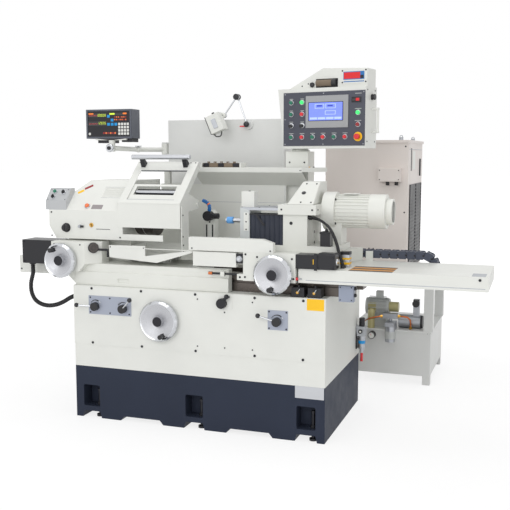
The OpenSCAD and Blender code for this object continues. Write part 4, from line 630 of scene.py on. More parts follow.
p = Piece("reverse_plate", "base", "white_paint", 0.5)
x0, x1, z0, z1 = 149, 233, 690, 777
cx, cz, hole_r, far = 174, 726, 30, 9e9
inner = [(cx + hole_r * cos(a), cz + hole_r * sin(a)) for a in around(28)]
outer = []
for x, z in inner:
    dx, dz = x - cx, z - cz
    k = min((x1 - cx) / dx if dx > 0 else (x0 - cx) / dx if dx < 0 else far,
            (z1 - cz) / dz if dz > 0 else (z0 - cz) / dz if dz < 0 else far)
    outer.append((cx + dx * k, cz + dz * k))
rings = []
for outline, y in ((inner, PANEL_Y + 1), (inner, PANEL_Y - 2), (outer, PANEL_Y - 2), (outer, PANEL_Y + 1)):
    rings.append([(x, y, z) for x, z in outline])
p.faces(rings, WHITE, closed=True, caps=False)
p.done()


def arc_mark(piece, c, y, r, w, a0, a1, mat, n=14):
    """Flat curved mark on a plate facing the front."""
    rings = []
    for i in range(n + 1):
        a = radians(a0 + (a1 - a0) * i / n)
        half = w * (0.35 + 0.65 * i / n) / 2
        rings.append([(c[0] + (r + side * half) * cos(a), y + deep, c[1] + (r + side * half) * sin(a))
                      for side, deep in ((-1, 0), (1, 0), (1, 0.5), (-1, 0.5))])
    piece.faces(rings, mat)


p = Piece("lever_marks", "base", "black_plastic", 0)
for x, z, a0, a1 in ((-604, 663, 150, 60), (-427, 659, 60, 150), (487, 645, 150, 50)):
    arc_mark(p, (x, z), PANEL_Y - 3.3, 36, 7, a0, a1, BLACK)
    arc_mark(p, (x, z), PANEL_Y - 3.3, 36, 4, a1 - 8, a1 - 22, WHITE)
p.done()

p = Piece("feed_cap_star", "base", "dark_steel", 0.3)
d = Vector((1, -1, 0)).normalized()
c = Vector((-626, -404, 997)) + d * 10
p.turn([(-1, 27), (1.5, 27), (3, 25.5), (3, 21), (1, 20.5), (1, 8), (4, 7.4), (4, CORE)], c, d, DARK, 40)
for a in around(10):
    u = Vector(UP) * sin(a) + d.cross(Vector(UP)) * cos(a)
    p.rod(c + u * 9 + d * 1.2, c + u * 20 + d * 1.2, 1.4, SATIN, 8, 0.9)
p.done()

p = Piece("feed_box_screws", "base", "dark_steel", 0.2)
p.screws((-1092, -893), -400, (902, 1017), FRONT, 4.5, 3)
p.screw((-860, PLATE_Y, 1015), FRONT, 4)
p.screw((-690, PLATE_Y, 1015), FRONT, 4)
p.screws((-1210, -830), -262, 833, FRONT, 5)
p.box((-1105.5, -1104.9), (-390, -272), (1004, 1007), SILVER_AND_STEP_SHADE)
p.done()

p = Piece("motor_gland", "base", "black_plastic", 0.4)
for at, way in (((-1083, CONDUIT_Y, 890), DOWN), ((-750, CONDUIT_Y, 700), LEFT)):
    p.turn([(0, 22), (5, 22), (5, 19), (12, 19), (14, 17), (16, 14.2)], at, way, BLACK, 24)
p.done()


def ribbed(points, r, step, mat, name, n=20):
    """Corrugated hose along points: rings of two radii."""
    pts = spline(points, 24)
    line, run = [pts[0]], 0.0
    for a, b in zip(pts, pts[1:]):
        run += (b - a).length
        if run >= step / 4:
            line.append(b)
            run = 0.0
    line.append(pts[-1])
    rings = [circle(q, r if i % 4 in (1, 2) else r * 0.86, u, w, n)
             for i, (q, u, w) in enumerate(carried(line, Vector(BACK)))]
    piece = Piece(name, "base", "black_plastic", 0)
    piece.faces(rings, mat)
    return piece.done(), line


ROUTE = [(x, CONDUIT_Y, z) for x, z in (
    (-1083, 876), (-1083, 850), (-1084, 820), (-1100, 760), (-1098, 705), (-1075, 660), (-1035, 636),
    (-985, 628), (-930, 636), (-880, 656), (-835, 682), (-800, 697), (-780, 700), (-764, 700))]


def path_length(points):
    return sum((b - a).length for a, b in zip(points, points[1:])) * MM


hose, line = ribbed(ROUTE, 13, 5, RUBBER, "conduit_hose")
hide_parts("conduit")
path_length(line)
[tuple(q * MM) for q in line]

p = Piece("switch_levers", "base", "bright_steel", 0.4)
for x in (595, 685):
    p.turn([(0, 20), (2, 20), (2, 15), (6, 14)], (x, -412, 806), FRONT, BLACK, 24)
    p.rod((x, -416, 806), (x, -421, 806), 7, BRASS, 18)
    p.rod((x, -419, 806), (x + 13, -419, 826), 2.5, CHROME, 10)
    p.rod((x - 29, -400, 790), (x - 41, -400, 790), 8, BLACK, 16)
p.done()

p = Piece("junction_box_lid", "base", "plate_aluminium", 1.5)
p.box((807, 883), (-376, -369), (764, 848), SLATE)
p.screws((815, 875), -376, (773, 840), FRONT, 3.5, 1.5)
for z in (832, 796):
    p.turn([(0, 10), (6, 10), (6, 8), (12, 7)], (885, -350, z), RIGHT, BLACK, 18)
p.done()

p = Piece("way_wipers", "carriage", "black_plastic", 0.6)
for y in (-330, -60):
    p.box((303, 309.5), (y - 1, y + 101), (845, 900), SATIN)
p.done()

p = Piece("bed_bolts", "base", "dark_steel", 0.4)
p.screws((60, 250, 440, 630, 820), (-280, -10), 873, UP, 9, -0.3)
p.done()


# details on the workhead and its guard
FRONT_Y = -350
p = Piece("workhead_knobs", "workhead", "black_plastic", 0.8)
p.turn([(-2, 27), (4, 27), (4, 22), (24, 20), (27, 17), (27, CORE)], (-831, FRONT_Y, 1103), FRONT, BLACK, 36)
p.box((-834, -828), (-380, -350), (1085, 1121), SATIN)
p.turn([(-2, 11), (3, 11), (3, 8), (20, 8), (20, CORE)], (-737, FRONT_Y, 1113), FRONT, SILVER_AND_STEP_SHADE, 20)
p.rod((-737, -362, 1113), (-712, -364, 1113), 6.5, BLACK, 16)
p.turn([(-2, 13), (3, 13), (5, 11), (5, 8), (3, 7), (3, CORE)], (-665, FRONT_Y, 1122), FRONT, BRASS, 28)
p.box((-667, -663), (-354.5, -352), (1114, 1129), BOLT)
p.done()

SLOPE = placed((0, -350, 1206), radians(45))
p = Piece("workhead_trim", "workhead", "plate_aluminium", 0.4, SLOPE)
p.box((-671, -602), (12, 44), (-1, 1.2), TAG_AND_GAP_SHADE)
tilt = radians(35)
for cx, cy, half, mat in ((-750, 182, 27, DARKRED), (-789, 145, 20, YELLOW)):
    tag = [(cx + u * cos(tilt) - v * sin(tilt), cy + u * sin(tilt) + v * cos(tilt))
           for u, v in ((-half, -8), (half, -8), (half, 8), (-half, 8))]
    p.slab("z", (-1, 1.2), tag, mat)
# Louvre slats on the workhead slope; the grey strip after each slat is painted shade in the gap.
for i in range(5):
    y = 108 + i * 15
    p.slab("x", (-633, -500), [(y, -1), (y + 9, -1), (y + 9, 6.5), (y + 7, 6.5)], WHITE)
    p.box((-633, -500), (y + 9, y + 12.5), (-1, 0.5), TAG_AND_GAP_SHADE)
for y in (100, 184):
    p.box((-640, -493), (y, y + 1.2), (-1, 0.8), SILVER_AND_STEP_SHADE)
p.done()
p = Piece("workhead_lamp", "workhead", "red_plastic", 0.3, SLOPE)
p.turn([(-2, 17), (3, 17), (5, 14.5)], (-702, 32, 0), UP, SILVER_AND_STEP_SHADE, 28)
p.turn([(2, 13.5), (9, 13.5), (14, 11), (17, 6), (18, CORE)], (-702, 32, 0), UP, ORANGE, 28)
p.done()
p = Piece("workhead_seams", "workhead", "black_plastic", 0)
p.box((-634, -545), (-350.6, -349), (1098, 1101), SATIN)
for x in (-930, -480):
    p.screw((x, FRONT_Y, 1055), FRONT, 4.5)
    p.screw((x, FRONT_Y, 1192), FRONT, 4.5)
p.screws(-464, (-320, -60, 120), 1062, RIGHT, 5)
p.done()

BOX = placed((0, -350, 1256), atan2(74, 60))
p = Piece("button_box_face", "workhead", "plate_aluminium", 0.5, BOX)
p.box((-962, -836), (6, 89), (-1, 1.2), BOX_GREY)
for x, y, mat in ((-926, 66, GREEN), (-926, 28, BLACK), (-868, 62, BLACK)):
    p.turn([(0, 15), (4, 15), (4, 12), (6, 12)], (x, y, 1), UP, CHROME, 28)
    p.turn([(3, 11), (11, 11), (13, 9.5), (13, CORE)], (x, y, 1), UP, mat, 28)
p.box((-929, -923), (17, 39), (13, 19), BLACK)
p.box((-871, -865), (51, 73), (13, 18), SATIN)
for x in (-956, -842):
    for y in (12, 83):
        p.stud((x, y, 1), UP, 3, 1.5, BOLT, 12)
p.done()

p = Piece("guard_tube_caps", "guard", "bright_steel", 0.6)
for x, d in ((-500, -1), (-137, 1)):
    p.turn([(-2, 14.3), (3, 14.3), (5, 12.5), (5, 8), (1, 7.5), (1, CORE)], (x, -140, 1512), (d, 0, 0),
           CHROME, 30)
p.done()
RUN, RISE = 270.3, 229
LEN = hypot(RUN, RISE)
GUARD = placed((0, -350.3, 1256), atan2(RISE, RUN))
p = Piece("guard_trim", "guard", "white_paint", 0.4, GUARD)
for x0, x1 in ((-486, -456), (-140, -110)):
    p.box((x0, x1), (LEN * 0.86, LEN * 0.93), (-0.5, 1.2), WHITE)
p.screws((-478, -448, -150, -120), LEN * 0.97, 0, UP, 3.5, 2)
for share, low in ((0.08, -10), (0.78, -8)):
    p.box((-446, -150), (LEN * share - 1, LEN * share + 1), (low, 1), SILVER_AND_STEP_SHADE)
SILL = -6
p.box((-447, -149), (LEN * 0.08, 74), (SILL - 3, SILL), WHITE)
p.box((-447, -149), (146, 162), (SILL - 3, SILL), WHITE)
for x0, x1 in ((-447, -424), (-172, -149)):
    p.box((x0, x1), (74, 146), (SILL - 3, SILL), WHITE)
p.box((-430, -166), (70, 150), (SILL - 30, SILL - 27), SATIN)
p.box((-430, -166), (70, 73), (SILL - 28, SILL - 2), SILVER_AND_STEP_SHADE)
p.rod((-428, 112, SILL - 16), (-168, 112, SILL - 16), 11, CHROME, 24)
p.done()

# spindle nose details seen through the guard
p = Piece("chuck_jaws_trim", "work_drive", "dark_steel", 0.8)
for a in around(3):
    spun = placed((0, SPINDLE_Y, SPINDLE_Z), a)
    for y in (-9, 9):
        p.screw(spun @ Vector((-270, y, 72)), RIGHT, 5, 2.5)
    for r in (42, 52, 62, 72, 82):
        ring = [spun @ Vector((-310, y, z)) for y, z in ((-19, r), (19, r), (19, r + 3), (-19, r + 3))]
        p.faces([ring, [v + Vector((3, 0, 0)) for v in ring]], STEEL)
p.turn([(0, 101), (4, 101), (4, 99), (0, 99)], (-372, SPINDLE_Y, SPINDLE_Z), RIGHT, STEEL, 60)
p.done()

p = Piece("drip_tray_trim", "base", "white_paint", 0.3)
p.box((-469, -14), (-396.4, -394.9), (1000, 1004), WHITE)
p.screws((-520, -310), -395, 1005, FRONT, 3.5, 2)
p.done()

p = Piece("tray_side_wall", "base", "white_paint", 1.2)
p.slab("x", (-101, -97), [(-345, 1030), (-248, 1030), (-248, 1205), (-300, 1240), (-345, 1240)], WHITE)
p.screws(-97, -330, (1070, 1190), RIGHT, 4)
p.done()

# dresser
p = Piece("dresser_hose", "dresser", "black_plastic", 0.5)
D = Vector((-90, 46.7 - 20, 1163))
track = spline([D + Vector(q) for q in ((4, 0, 30), (8, 0, 44), (4, 0, 66), (-14, -2, 84), (-36, -4, 92))], 5)
for i in range(0, len(track) - 3, 2):
    a, b = track[i], track[i + 2]
    p.lathe([(0, 8), (0.25, 11.5), (0.6, 11.5), (1, 8.5)], a, b, ORANGE if i == 10 else BLUE, 18, share=True)
p.lathe([(0, 9), (0.5, 11), (1, 4)], track[-3], track[-1] + (track[-1] - track[-3]) * 0.15, BLUE, 18,
        share=True)
p.rod(D + Vector((30, -20, 0)), D + Vector((30, 20, 0)), 13, SATIN, 24)
p.rod(D + Vector((62, 0, 0)), D + Vector((69, 0, 0)), 12, BOLT, 6)
p.turn([(0, 28), (3, 28), (3, 20), (5, 19), (5, CORE)], D + Vector((0, -20, 0)), FRONT, SATIN, 40)
p.done()
p = Piece("dresser_stand_trim", "base", "black_plastic", 0.6)
for x in (-112, -74):
    p.box((x, x + 6), (40, 47.2), (1010, 1110), SATIN)
p.screws(-90, 47, (1030, 1125), FRONT, 5)
p.done()
p = Piece("tray_side_plate", "base", "white_paint", 0.6)
for y in (-330, -245):
    p.screw((-96, y, 1022), RIGHT, 4.5)
    p.screw((-96, y, 985), RIGHT, 4.5)
p.done()

# splash guard
p = Piece("shelf_trim", "base", "white_paint", 0.4)
p.slab("y", (99.2, 101), [(-450, 1424), (467, 1424), (467, 1451), (-450, 1451)], WHITE)
for x in (455, 462):
    p.box((x - 2.5, x + 2.5), (98.8, 100), (1431, 1437), BOLT)
p.stud((470, 255, 1450), UP, 5, 5, BRASS, 16)
p.stud((496, 255, 1450), UP, 5, 5, BOLT, 16)
for x in (-60, 120, 300):
    p.slab("x", (x, x + 2), [(104, 1424), (165, 1424), (118, 1408)], WHITE)
p.done()
p = Piece("tool_rack_trim", "base", "dark_steel", 0.8)
for x0, x1, mat in ((-163, -126, BOLT), (-122, -70, STONE), (-66, -30, BOLT), (-26, 26, STONE),
                    (30, 68, BOLT)):
    p.box((x0, x1), (126, 131), (1453, 1475), mat)
    p.rod(((x0 + x1) / 2, 136, 1476), ((x0 + x1) / 2, 136, 1479), 7, STEEL, 16)
p.box((-178, -169), (118, 215), (1450, 1478), WHITE)
p.box((74, 83), (118, 215), (1450, 1478), WHITE)
p.done()
p = Piece("wall_seam", "base", "white_paint", 0.3)
p.box((-200, 320), (238.6, 240), (1235, 1237), SILVER_AND_STEP_SHADE)
p.box((322, 324), (238.6, 240), (1000, 1340), SILVER_AND_STEP_SHADE)
p.done()

# table, feed plate and guards
p = Piece("feed_plate_screws", "carriage", "dark_steel", 0.2)
for x, z in ((379, 988), (571, 985), (568, 908), (580, 880), (311, 878), (282, 876), (314, 1000)):
    p.screw((x, PLATE_Y, z), FRONT, 5.5)
p.turn([(0, 9), (6, 9), (6, 6), (12, 5)], (590, -425, 880), RIGHT, RED, 16)
p.turn([(10, 4), (30, 4), (30, CORE)], (590, -425, 880), RIGHT, SILVER_AND_STEP_SHADE, 12)
p.done()
p = Piece("cross_dial", "carriage", "bright_steel", 0.4)
c = (473, -440, 900)
p.turn([(-1, 48), (3, 48), (4.5, 46), (4.5, 20)], c, FRONT, ALU, 60)
on_dial = Vector(c) + Vector((0, -4.7, 0))
for i, a in enumerate(around(50)):
    q = Vector((cos(a), 0, sin(a)))
    p.rod(on_dial + q * (38 if i % 5 == 0 else 42), on_dial + q * 46, 0.5, BLACK, 4)
p.done()
p = Piece("guard_edges", "carriage", "white_paint", 0.4)
p.screws((5, 452), PLATE_Y, 1022, FRONT, 4)
p.box((-15, 467), (-441, -439.8), (1011, 1013), WHITE)
p.box((10, 260), (-441, -439.8), (1003, 1005), WHITE)
p.done()
p = Piece("link_details", "carriage", "plate_aluminium", 1.0)
p.turn([(0, 17), (10, 17), (14, 14), (14, CORE)], (282, -442, 975), FRONT, SILVER_AND_STEP_SHADE, 30)
p.turn([(14, 8), (18, 8), (18, CORE)], (282, -442, 975), FRONT, CHROME, 24)
p.done()
p = Piece("servo_details", "carriage", "black_box", 0.8)
p.box((600, 690), (-442, -440), (944, 1002), SATIN)
p.box((690, 706), (-444, -438), (930, 1018), SATIN)
p.screws((712, 790), PLATE_Y, (947, 1000), FRONT, 4.5)
p.box((684, 688), (-442.6, -440), (962, 988), YELLOW)
p.slab("x", (712, 792), [(-436, 1015), (-354, 1015), (-360, 1019), (-430, 1019)], SATIN)
p.done()
p = Piece("cover_stripes", "carriage", "white_paint", 0)
ON_COVER = (COVER_TOP - 0.1, COVER_TOP + 0.5)
WOOD = paint("stripe_dark", (74, 62, 54), rough=0.4, spread=0.15)
AMBER = paint("stripe_amber", (222, 150, 44), rough=0.38, spread=0.1)
STRIPE_W = 38
for i in range(5):
    y = -408 + STRIPE_W * i
    p.box((862, 1088), (y, y + STRIPE_W), ON_COVER, AMBER if i % 2 else WOOD)
p.done()
p = Piece("cover_details", "carriage", "white_paint", 0.4)
p.box((1478, 1545), (-408, -300), ON_COVER, SILVER_AND_STEP_SHADE)
p.screw((1519, -420, 917), FRONT, 7, 4)
# Grey line along the cover's front at z 872 to 876: painted shadow under the step of the recessed lip.
p.slab("x", (640, 1545), [(-420.6, 872), (-419.5, 872), (-419.5, 876), (-420.6, 876)], SILVER_AND_STEP_SHADE)
p.screws((700, 1000, 1300), 50, 917, BACK, 6)
p.done()


# wheelhead, quill plate and their cables
p = Piece("wheelhead_trim", "wheel_slide", "white_casting", 0.5)
p.turn([(-2, 9), (1.5, 9), (1.5, 6), (0.5, 5.5), (0.5, CORE)], (523, -300, 1160), FRONT, SATIN, 20)
for z in (1101, 1044):
    p.turn([(-2, 8), (1.5, 8), (1.5, CORE)], (613, -150, z + 3), RIGHT, SATIN, 18)
p.box((664.5, 666), (-40, 12), (1209, 1217), SATIN)
p.screws(665, (-280, -40), 1234, RIGHT, 5)
p.screws((475, 645), -320, 1234, FRONT, 5)
SLANT = placed((0, -300, 1260), atan2(119, 150))
p.done()
p = Piece("belt_cover_screws", "wheel_slide", "dark_steel", 0.3, SLANT)
p.turn([(0, 12), (2, 12), (3, 10), (3, CORE)], (572, 96, 0), UP, BLACK, 24)
for x, y in ((572, 20), (572, 172), (628, 20), (628, 172)):
    p.screw((x, y, 0), UP, 4.5, 2)
p.done()
p = Piece("quill_scale", "wheel_slide", "white_casting", 0.3)
p.box((254, 282), (-302, -300), (1112, 1212), WHITE)
p.screws(268, -302, (1120, 1162, 1204), FRONT, 4, 2)
p.faces([[(316, -301, 1212), (330, -301, 1206), (330, -305, 1206), (316, -305, 1212)],
         [(364, -301, 1142), (378, -301, 1146), (378, -305, 1146), (364, -305, 1142)]], SATIN)
p.box((287, 478), (-302, -300), (1200, 1207), SATIN)
p.done()
p = Piece("quill_top_screws", "wheel_slide", "dark_steel", 0.2)
p.screws((240, 340, 440), (-288, -112), 1240, UP, 4, 2)
p.screw((263, -230, 1325), UP, 6, 3)
p.done()

p = Piece("motor_details", "wheel_slide", "white_casting", 0.8)
for i in range(4):
    a = radians(45 + 90 * i)
    p.screw((734, MOTOR_Y + 92 * cos(a), MOTOR_Z + 92 * sin(a)), RIGHT, 6, 5)
cap = (1039, MOTOR_Y, MOTOR_Z)
p.turn([(-2, 62), (1.5, 62), (1.5, 60), (0, 58)], cap, RIGHT, CAST, 48)
for i in range(5):
    r = 12 + 11 * i
    p.turn([(-0.5, r), (0.8, r), (0.8, r + 3.5), (-0.5, r + 3.5)], cap, RIGHT, CAST, 48)
p.box((770, 850), (-150, -70), (1312, 1316), CAST)
p.box((1006, 1008), (-112, -108), (1146, 1150), SATIN)
p.done()

CABLE = [(613, -285, 1193), (630, -285, 1193), (665, -290, 1187), (705, -300, 1168), (738, -312, 1140),
         (762, -322, 1102), (780, -329, 1060), (793, -331, 1015), (806, -330, 975), (815, -329, 950),
         (815, -329, COVER_TOP)]
CABLE_PITCH, CABLE_DROP, CABLE_R = 22, 6, 7
for k in range(2):
    route = [(x, y + k * CABLE_PITCH, z - k * (CABLE_DROP if z != COVER_TOP else 0)) for x, y, z in CABLE]
    line = spline(route, 8)
    p = Piece("wheelhead_cable_%d" % (k + 1), None, "black_plastic", 0)
    p.sweep(line, CABLE_R * 0.94, RUBBER, 16)
    cable = p.done()
    if k == 0:
        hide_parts("wheelhead_cables")
    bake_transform(cable, "wheel_slide", "carriage", tuple(line[0] * MM), tuple(line[-1] * MM))
    path_length(line)
    [tuple(q * MM) for q in line]
p = Piece("cable_glands", "wheel_slide", "black_plastic", 0.5)
for k in range(2):
    at = (613, -285 + CABLE_PITCH * k, 1193 - CABLE_DROP * k)
    p.turn([(0, 11), (6, 11), (6, 9.5), (16, 9), (18, 7.5)], at, RIGHT, SATIN, 18)
p.box((684, 738), (-298, -235), (1040, 1118), SATIN)
p.box((681, 741), (-301, -232), (1108, 1116), SATIN)
p.screws((690, 732), -301, 1112, FRONT, 3, 1.5)
p.turn([(0, 9), (10, 9), (10, 6), (16, 5.5)], (711, -266, 1118), UP, BLACK, 16)
p.done()
p = Piece("cable_plate", "carriage", "black_plastic", 0.5)
for z0, z1, mat in ((948, 960, YELLOW), (974, 984, YELLOW), (1000, 1015.6, SATIN)):
    p.box((789.5, 842.5), (-290.5, -239.5), (z0, z1), mat)
for k in range(2):
    at = (815, -329 + CABLE_PITCH * k, COVER_TOP)
    p.turn([(0, 13), (4, 13), (4, 10.5), (14, 10), (16, 7.4)], at, UP, SATIN, 18)
p.done()


# energy chain behind the table
CHAIN_X0, CHAIN_X1, BEND_X, BEND_R, CHAIN_LOW_Z = 560, 800, 1180, 64.0, 839.5


def chain_frames(pitch):
    """Centres and directions of the links, from the fixed end round the bend to the moving end."""
    low, bend, high = BEND_X - CHAIN_X0, pi * BEND_R, BEND_X - CHAIN_X1
    total = low + bend + high
    count = int(total / pitch)
    out = []
    for i in range(count):
        s = (i + 0.5) * total / count
        if s < low:
            out.append((CHAIN_X0 + s, CHAIN_LOW_Z, 0.0))
        elif s < low + bend:
            a = (s - low) / BEND_R
            out.append((BEND_X + BEND_R * sin(a), CHAIN_LOW_Z + BEND_R * (1 - cos(a)), a))
        else:
            out.append((BEND_X - (s - low - bend), CHAIN_LOW_Z + 2 * BEND_R, pi))
    return out, total / count


links, pitch = chain_frames(48.0)
p = Piece("energy_chain", "carriage", "black_plastic", 0.8)
for x, z, a in links:
    def put(u, y, w, x=x, z=z, a=a):
        return (x + u * cos(a) - w * sin(a), y, z + u * sin(a) + w * cos(a))
    def plate(u0, u1, y0, y1, w, mat, chamfer=5):
        outline = [(u0 + chamfer, -w), (u1 - chamfer, -w), (u1, -w + chamfer), (u1, w - chamfer),
                   (u1 - chamfer, w), (u0 + chamfer, w), (u0, w - chamfer), (u0, -w + chamfer)]
        p.faces([[put(u, y0, v) for u, v in outline], [put(u, y1, v) for u, v in outline]], mat)
    h = pitch / 2
    plate(-h + 1.5, h - 1.5, 61, 67, 22, CHAIN)
    plate(-h + 1.5, h - 1.5, 133, 139, 22, CHAIN)
    plate(-h - 3, h - 4, 67, 133, 17.5, CHAIN, 2)
    plate(-4, 8, 64, 136, 21.5, CHAIN, 2)
    for y in (60.4, 136.6):
        c = Vector(put(-h + 4, y, 0))
        p.rod(c, c + Vector((0, 3, 0)), 6, SATIN, 12)
chain = p.done()
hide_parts("cable_chain")
p = Piece("chain_bracket_screws", "carriage", "dark_steel", 0.2)
p.screws((868, 892), 100, 995, UP, 4.5)
p.done()

# pendant, drawn in its own frame
p = Piece("pendant_screen", "pendant", "grey_paint", 1.2, PEND)


def at(sx, sz):
    return FACE_X0 + sx * FACE_W, FACE_Z0 + sz * FACE_H


def on_face(piece, x0, z0, x1, z1, out, mat, back=0.5):
    (a, b), (c, d) = at(x0, z0), at(x1, z1)
    piece.box((a, c), (FACE_Y - out, FACE_Y + back), (b, d), mat)


on_face(p, 0.285, 0.335, 0.802, 0.928, 5, BEZEL)
on_face(p, 0.318, 0.46, 0.745, 0.812, 5.6, SATIN, -4)
p.done()
p = Piece("pendant_display", "pendant", "black_plastic", 0, PEND)
on_face(p, 0.327, 0.472, 0.736, 0.8, 6.2, SCREEN, -5)
for x0, z0, x1, z1, mat in ((0.4, 0.69, 0.515, 0.775, SCREEN_LIGHT), (0.53, 0.69, 0.655, 0.775, SCREEN_LIGHT),
                            (0.408, 0.7, 0.507, 0.765, SCREEN), (0.538, 0.7, 0.647, 0.765, SCREEN),
                            (0.425, 0.725, 0.49, 0.755, SCREEN_DARK),
                            (0.555, 0.725, 0.62, 0.755, SCREEN_DARK),
                            (0.525, 0.575, 0.655, 0.65, SCREEN_LIGHT), (0.533, 0.585, 0.647, 0.64, SCREEN),
                            (0.34, 0.49, 0.43, 0.53, SCREEN_LIGHT), (0.44, 0.49, 0.53, 0.53, SCREEN_LIGHT),
                            (0.54, 0.49, 0.63, 0.53, SCREEN_LIGHT), (0.64, 0.49, 0.725, 0.53, SCREEN_LIGHT)):
    on_face(p, x0, z0, x1, z1, {SCREEN_LIGHT: 6.5, SCREEN: 6.8, SCREEN_DARK: 7.1}[mat], mat, -6)
on_face(p, 0.84, 0.785, 0.952, 0.882, 3, SATIN)
on_face(p, 0.89, 0.81, 0.93, 0.86, 3.6, LED_RED, -2)
on_face(p, 0.848, 0.815, 0.88, 0.85, 3.4, SMOKED, -2)
p.done()

p = Piece("pendant_labels", "pendant", "white_plastic", 0, PEND)
SELECTOR_Z = FACE_Z0 + 0.385 * FACE_H
LABELS = ([(x, 15, LOW_Z + 20) for x in BUTTON_X]
          + [(x, 12, z + 19) for x in BUTTON_X[:2] for z in TOP_Z + [SELECTOR_Z]]
          + [(LAMP_X, 20, z) for z in (LAMP_Z[0] + 20, LAMP_Z[1] + 20, FACE_Z0 + 0.94 * FACE_H)])
for x, half, z in LABELS:
    p.box((x - half, x + half), (FACE_Y - 0.4, FACE_Y + 0.5), (z, z + 3), PALEGREY)
for sx, sz in ((0.02, 0.97), (0.5, 0.97), (0.98, 0.97), (0.02, 0.03), (0.5, 0.03), (0.98, 0.03), (0.02, 0.5)):
    x, z = at(sx, sz)
    p.turn([(0, 3.5), (1.2, 3.5), (1.6, CORE)], (x, FACE_Y, z), FRONT, SILVER_AND_STEP_SHADE, 12)
p.done()

p = Piece("button_bezels", "pendant", "bright_steel", 0.4, PEND)
for x, z, mat in BUTTONS:
    p.turn([(0, 15.5), (2.6, 15.5), (3.6, 14.4), (3.6, 12.2), (0.4, 12)], (x, FACE_Y, z), FRONT, CHROME, 32)
STOP_X, STOP_Z = 439, 1628
p.turn([(0, 26.5), (1.2, 26.5), (1.6, 25.9), (1.6, 13.5), (0.2, 13.4)], (STOP_X, FACE_Y, STOP_Z), FRONT,
       YELLOW, 40)
p.done()
p = Piece("selector_marks", "pendant", "white_plastic", 0, PEND)
for x in BUTTON_X[:2]:
    p.turn([(0, 16), (2, 16), (3, 15), (3, 11)], (x, FACE_Y, SELECTOR_Z), FRONT, CHROME)
p.done()

HOOD_Y = -115
p = Piece("hood_indicator", "pendant", "white_paint", 0.6, PEND)
p.box((322, 480), (HOOD_Y - 3, HOOD_Y + 1), (1928, 2007), WHITE)
p.screws((329, 473), HOOD_Y - 3, (1935, 2000), FRONT, 4.5, 2)
p.box((336, 464), (HOOD_Y - 6, HOOD_Y - 3), (1950, 1994), BLUE)
p.box((339, 440), (HOOD_Y - 7, HOOD_Y - 6), (1954, 1990), LED_RED)
p.box((441, 461), (HOOD_Y - 7, HOOD_Y - 6), (1954, 1972), SATIN)
p.box((336, 464), (HOOD_Y - 3.8, HOOD_Y - 3), (1936, 1941), BLUE)
p.done()
p = Piece("hood_lamp", "pendant", "dark_steel", 0.6, PEND)
p.box((160, 300), (HOOD_Y - 1, HOOD_Y + 1), (1912, 1962), SATIN)
p.turn([(0, 17), (4, 19), (96, 19), (100, 17)], (168, HOOD_Y - 8, 1937), RIGHT, STONE, 36)
p.turn([(0, 20), (5, 22), (22, 22), (26, 19), (26, CORE)], (266, HOOD_Y - 6, 1937), RIGHT, BLACK, 36)
for a in around(8):
    c = Vector((137 + 11 * cos(a), HOOD_Y, 1930 + 11 * sin(a)))
    p.rod(c, c + Vector((0, -9, 0)), 4, BLACK, 10)
p.turn([(0, 12), (12, 12), (14, 9), (14, CORE)], (137, HOOD_Y, 1930), FRONT, BLACK, 24)
for x in (70, 110):
    p.screw((x, HOOD_Y, 1925 + (x - 70) * 0.3), FRONT, 4, 2)
p.done()
p = Piece("pendant_side", "pendant", "black_plastic", 0.6, PEND)
p.turn([(0, 17), (7, 17), (7, 14), (14, 14), (14, 17), (22, 16), (22, 9)], (482, -48, 1852), RIGHT, BLACK, 24)
p.screws(482, (-110, 0), (1600, 1890), RIGHT, 4, 2)
p.done()
p = Piece("pendant_back", "pendant", "white_paint", 1.0, PEND)
p.box((0, 440), (25, 27.5), (1620, 1860), WHITE)
for i in range(9):
    p.box((60 + i * 34, 72 + i * 34), (27, 29.5), (1640, 1700), SATIN)
p.screws((14, 426), 27.5, (1634, 1846), BACK, 5)
p.done()
p = Piece("column_cap", "base", "white_paint", 1.5)
p.turn([(-1, 58), (9, 58), (9, 50), (14, 50), (14, 40)], (386, 346, 1546), UP, WHITE, 48)
p.screws((340, 432), 276, 1480, FRONT, 5)
p.done()

# digital readout
DRO_X, DRO_Z = -978, 1628


def key(piece, u, v, w, h, mat, out=2.0):
    """Key or window on the readout's front, placed from its top left corner."""
    x, z = DRO_X + u, DRO_Z + 182 - v
    piece.box((x, x + w), (150 - out, 150.5), (z - h, z), mat)


p = Piece("readout_frame", "readout", "black_box", 1.0)
SLATE_DARK = paint("readout_slate", (84, 88, 98), rough=0.42, spread=0.06)
for x, z in (((DRO_X, -656), (DRO_Z, 1640)), ((DRO_X, -656), (1800, 1810)), ((DRO_X, -966), (1640, 1800)),
             ((-668, -656), (1640, 1800))):
    p.box(x, (146, 151), z, SLATE_DARK)
p.slab("x", (-656.5, -655), [(151, 1629), (259, 1629), (259, 1809), (151, 1809)], SLATE_DARK)
p.slab("z", (1809.5, 1811), [(-977, 147), (-657, 147), (-657, 259), (-977, 259)], SLATE_DARK)
p.box((-905, -800), (165, 250), (1600, 1619), SATIN)
p.box((-735, -662), (165, 250), (1606, 1628), SATIN)
p.done()
p = Piece("readout_windows", "readout", "black_plastic", 0)
key(p, 16, 24, 128, 22, SMOKED, 1.2)
key(p, 16, 74, 128, 26, SMOKED, 1.2)
key(p, 164, 22, 120, 14, SMOKED, 1.2)
key(p, 18, 22, 34, 8, DIGIT_ORANGE, 1.8)
key(p, 168, 23, 36, 10, DIGIT, 1.8)
key(p, 262, 22, 26, 9, DIGIT_ORANGE, 1.8)
